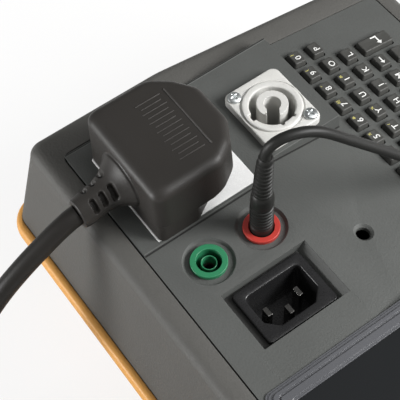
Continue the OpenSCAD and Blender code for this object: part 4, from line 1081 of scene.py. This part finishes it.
def makeConnector():
    # Three-pin connector on the far end: a tapered neck, a grip with round edges and the nose that enters
    # an inlet. A skin through its sections, carried on from the end of the lead.
    rings = []
    for y, width, height, radius in connector["sections"]:
        outline = roundedOutline(width, height, radius, 6, 4)
        rings.append(np.column_stack([outline[:, 0], np.full(len(outline), -y), outline[:, 1]]))
    return addLoft("leadConnectorSkin", rings, 45, mainLead["tail"][-1])


connectorSkin = piece(makeConnector(), "plugRubber", "case", "cord_black", "lead_connector")


def makeProbePlug():
    # Turned plug: shroud, ringed grip, a round belly, and a slim boot with fine rings that leans with the
    # lead by the square of the height.
    p = probePlug
    profile = list(p["shroud"])
    for i in range(p["gripRings"]):
        profile += [(r, p["gripFrom"] + i * p["gripStep"] + z) for r, z in p["gripRing"]]
    profile += p["belly"]
    for i in range(p["bootRings"]):
        profile += [(p["bootRadius"] - i * p["bootTaper"] + r, p["bootFrom"] + i * p["bootStep"] + z)
                    for r, z in p["bootRing"]]
    rings = spin(profile + p["end"], 64)
    bend = np.clip((rings[..., 2] - p["leanFrom"]) / p["leanOver"], 0, 1)
    rings[..., 1] -= p["lean"] * bend * bend
    return addLoft("probePlugSkin", rings, 40, (*p["place"], case["panelHeight"] + p["above"]))


probePlugSkin = piece(makeProbePlug(), "leadRubber", "case", "cord_black", "probe_plug")


def makeProbeHandle():
    # Turned handle: a nose, a ringed grip, a guard and a cone, carried on from the end of the lead.
    h = probeHandle
    profile = list(h["nose"])
    for i in range(h["rings"]):
        profile += [(r, h["from"] + i * h["step"] + x) for r, x in h["ring"]]
    verts, faces = loftParts(spin(profile + h["guard"], 56))
    verts = placed(verts, probeLead["tail"][-1], (0, 0, -1), (0, 1, 0), (1, 0, 0))
    return addMesh("probeHandleSkin", verts, faces, 40)


probeHandleSkin = piece(makeProbeHandle(), "redPlastic", "case", "red_plastic", "probe_handle")

piece(testLead, "cordRubber", "case", "cord_black", "test_lead", "test_lead_coil")
piece(probeCord, "leadRubber", "case", "cord_black", "probe_lead", "probe_lead_coil")
print("leads made")

# Stage and light: places and sizes in metres, power in watts
stage = {"floorColor": (0.93, 0.93, 0.92), "floorRoughness": 0.85, "floorReach": 6.0, "floorGlow": 0.86,
         "world": 0.22}
lamps = {"key": {"place": (-0.33, -0.38, 0.48), "size": 0.34, "power": 8.2},
         "rear": {"place": (0.45, 1.25, 0.27), "size": 0.48, "power": 15.0},
         "top": {"place": (-0.3, -0.1, 1.4), "size": 0.8, "power": 3.0}}
lampsAim = (0, 0, 0.08)


def makeStage():
    # A pale floor with the object's shadow. To the camera it also glows by a share of white.
    reach = stage["floorReach"]
    mesh = bpy.data.meshes.new("floor")
    mesh.from_pydata([(-reach, -reach, 0), (reach, -reach, 0), (reach, reach, 0), (-reach, reach, 0)], [],
                     [(0, 1, 2, 3)])
    floor = addThing("floor", mesh)
    material = bpy.data.materials.new("floorPaper")
    material.use_nodes = True
    tree = material.node_tree
    shader = tree.nodes["Principled BSDF"]
    shader.inputs["Base Color"].default_value = (*stage["floorColor"], 1)
    shader.inputs["Roughness"].default_value = stage["floorRoughness"]
    glow = tree.nodes.new("ShaderNodeEmission")
    glow.inputs["Strength"].default_value = 1.0
    rays = tree.nodes.new("ShaderNodeLightPath")
    mix = tree.nodes.new("ShaderNodeMixShader")
    feed(tree, mix.inputs[0], mathNode(tree, "MULTIPLY", rays.outputs["Is Camera Ray"], stage["floorGlow"]))
    feed(tree, mix.inputs[1], shader.outputs[0])
    feed(tree, mix.inputs[2], glow.outputs[0])
    feed(tree, tree.nodes["Material Output"].inputs["Surface"], mix.outputs[0])
    mesh.materials.append(material)


def makeWorld():
    # A white world: at full strength for the camera and through glass, and at a low level as light.
    world = bpy.data.worlds.new("studio")
    bpy.context.scene.world = world
    world.use_nodes = True
    tree = world.node_tree
    background = tree.nodes["Background"]
    background.inputs["Color"].default_value = (1, 1, 1, 1)
    rays = tree.nodes.new("ShaderNodeLightPath")
    seen = mathNode(tree, "MAXIMUM", rays.outputs["Is Camera Ray"], rays.outputs["Is Transmission Ray"])
    feed(tree, background.inputs["Strength"], mathNode(tree, "MAXIMUM", seen, stage["world"]))


def makeLamp(name, settings):
    # A square lamp at its place, turned so that its light goes towards the aim.
    data = bpy.data.lights.new(name, "AREA")
    data.shape = "SQUARE"
    data.size = settings["size"]
    data.energy = settings["power"]
    lamp = addThing(name, data)
    place = np.array(settings["place"], float)
    back = place - np.array(lampsAim)
    back /= np.linalg.norm(back)
    side = np.cross([0, 1, 0.001], back)
    side /= np.linalg.norm(side)
    standAt(lamp, side, np.cross(back, side), back, place)
    lamp.visible_camera = False


makeStage()
makeWorld()
for lampName, lampSettings in lamps.items():
    makeLamp(lampName, lampSettings)
bpy.context.scene.view_settings.view_transform = "Standard"
print("stage and lamps set")
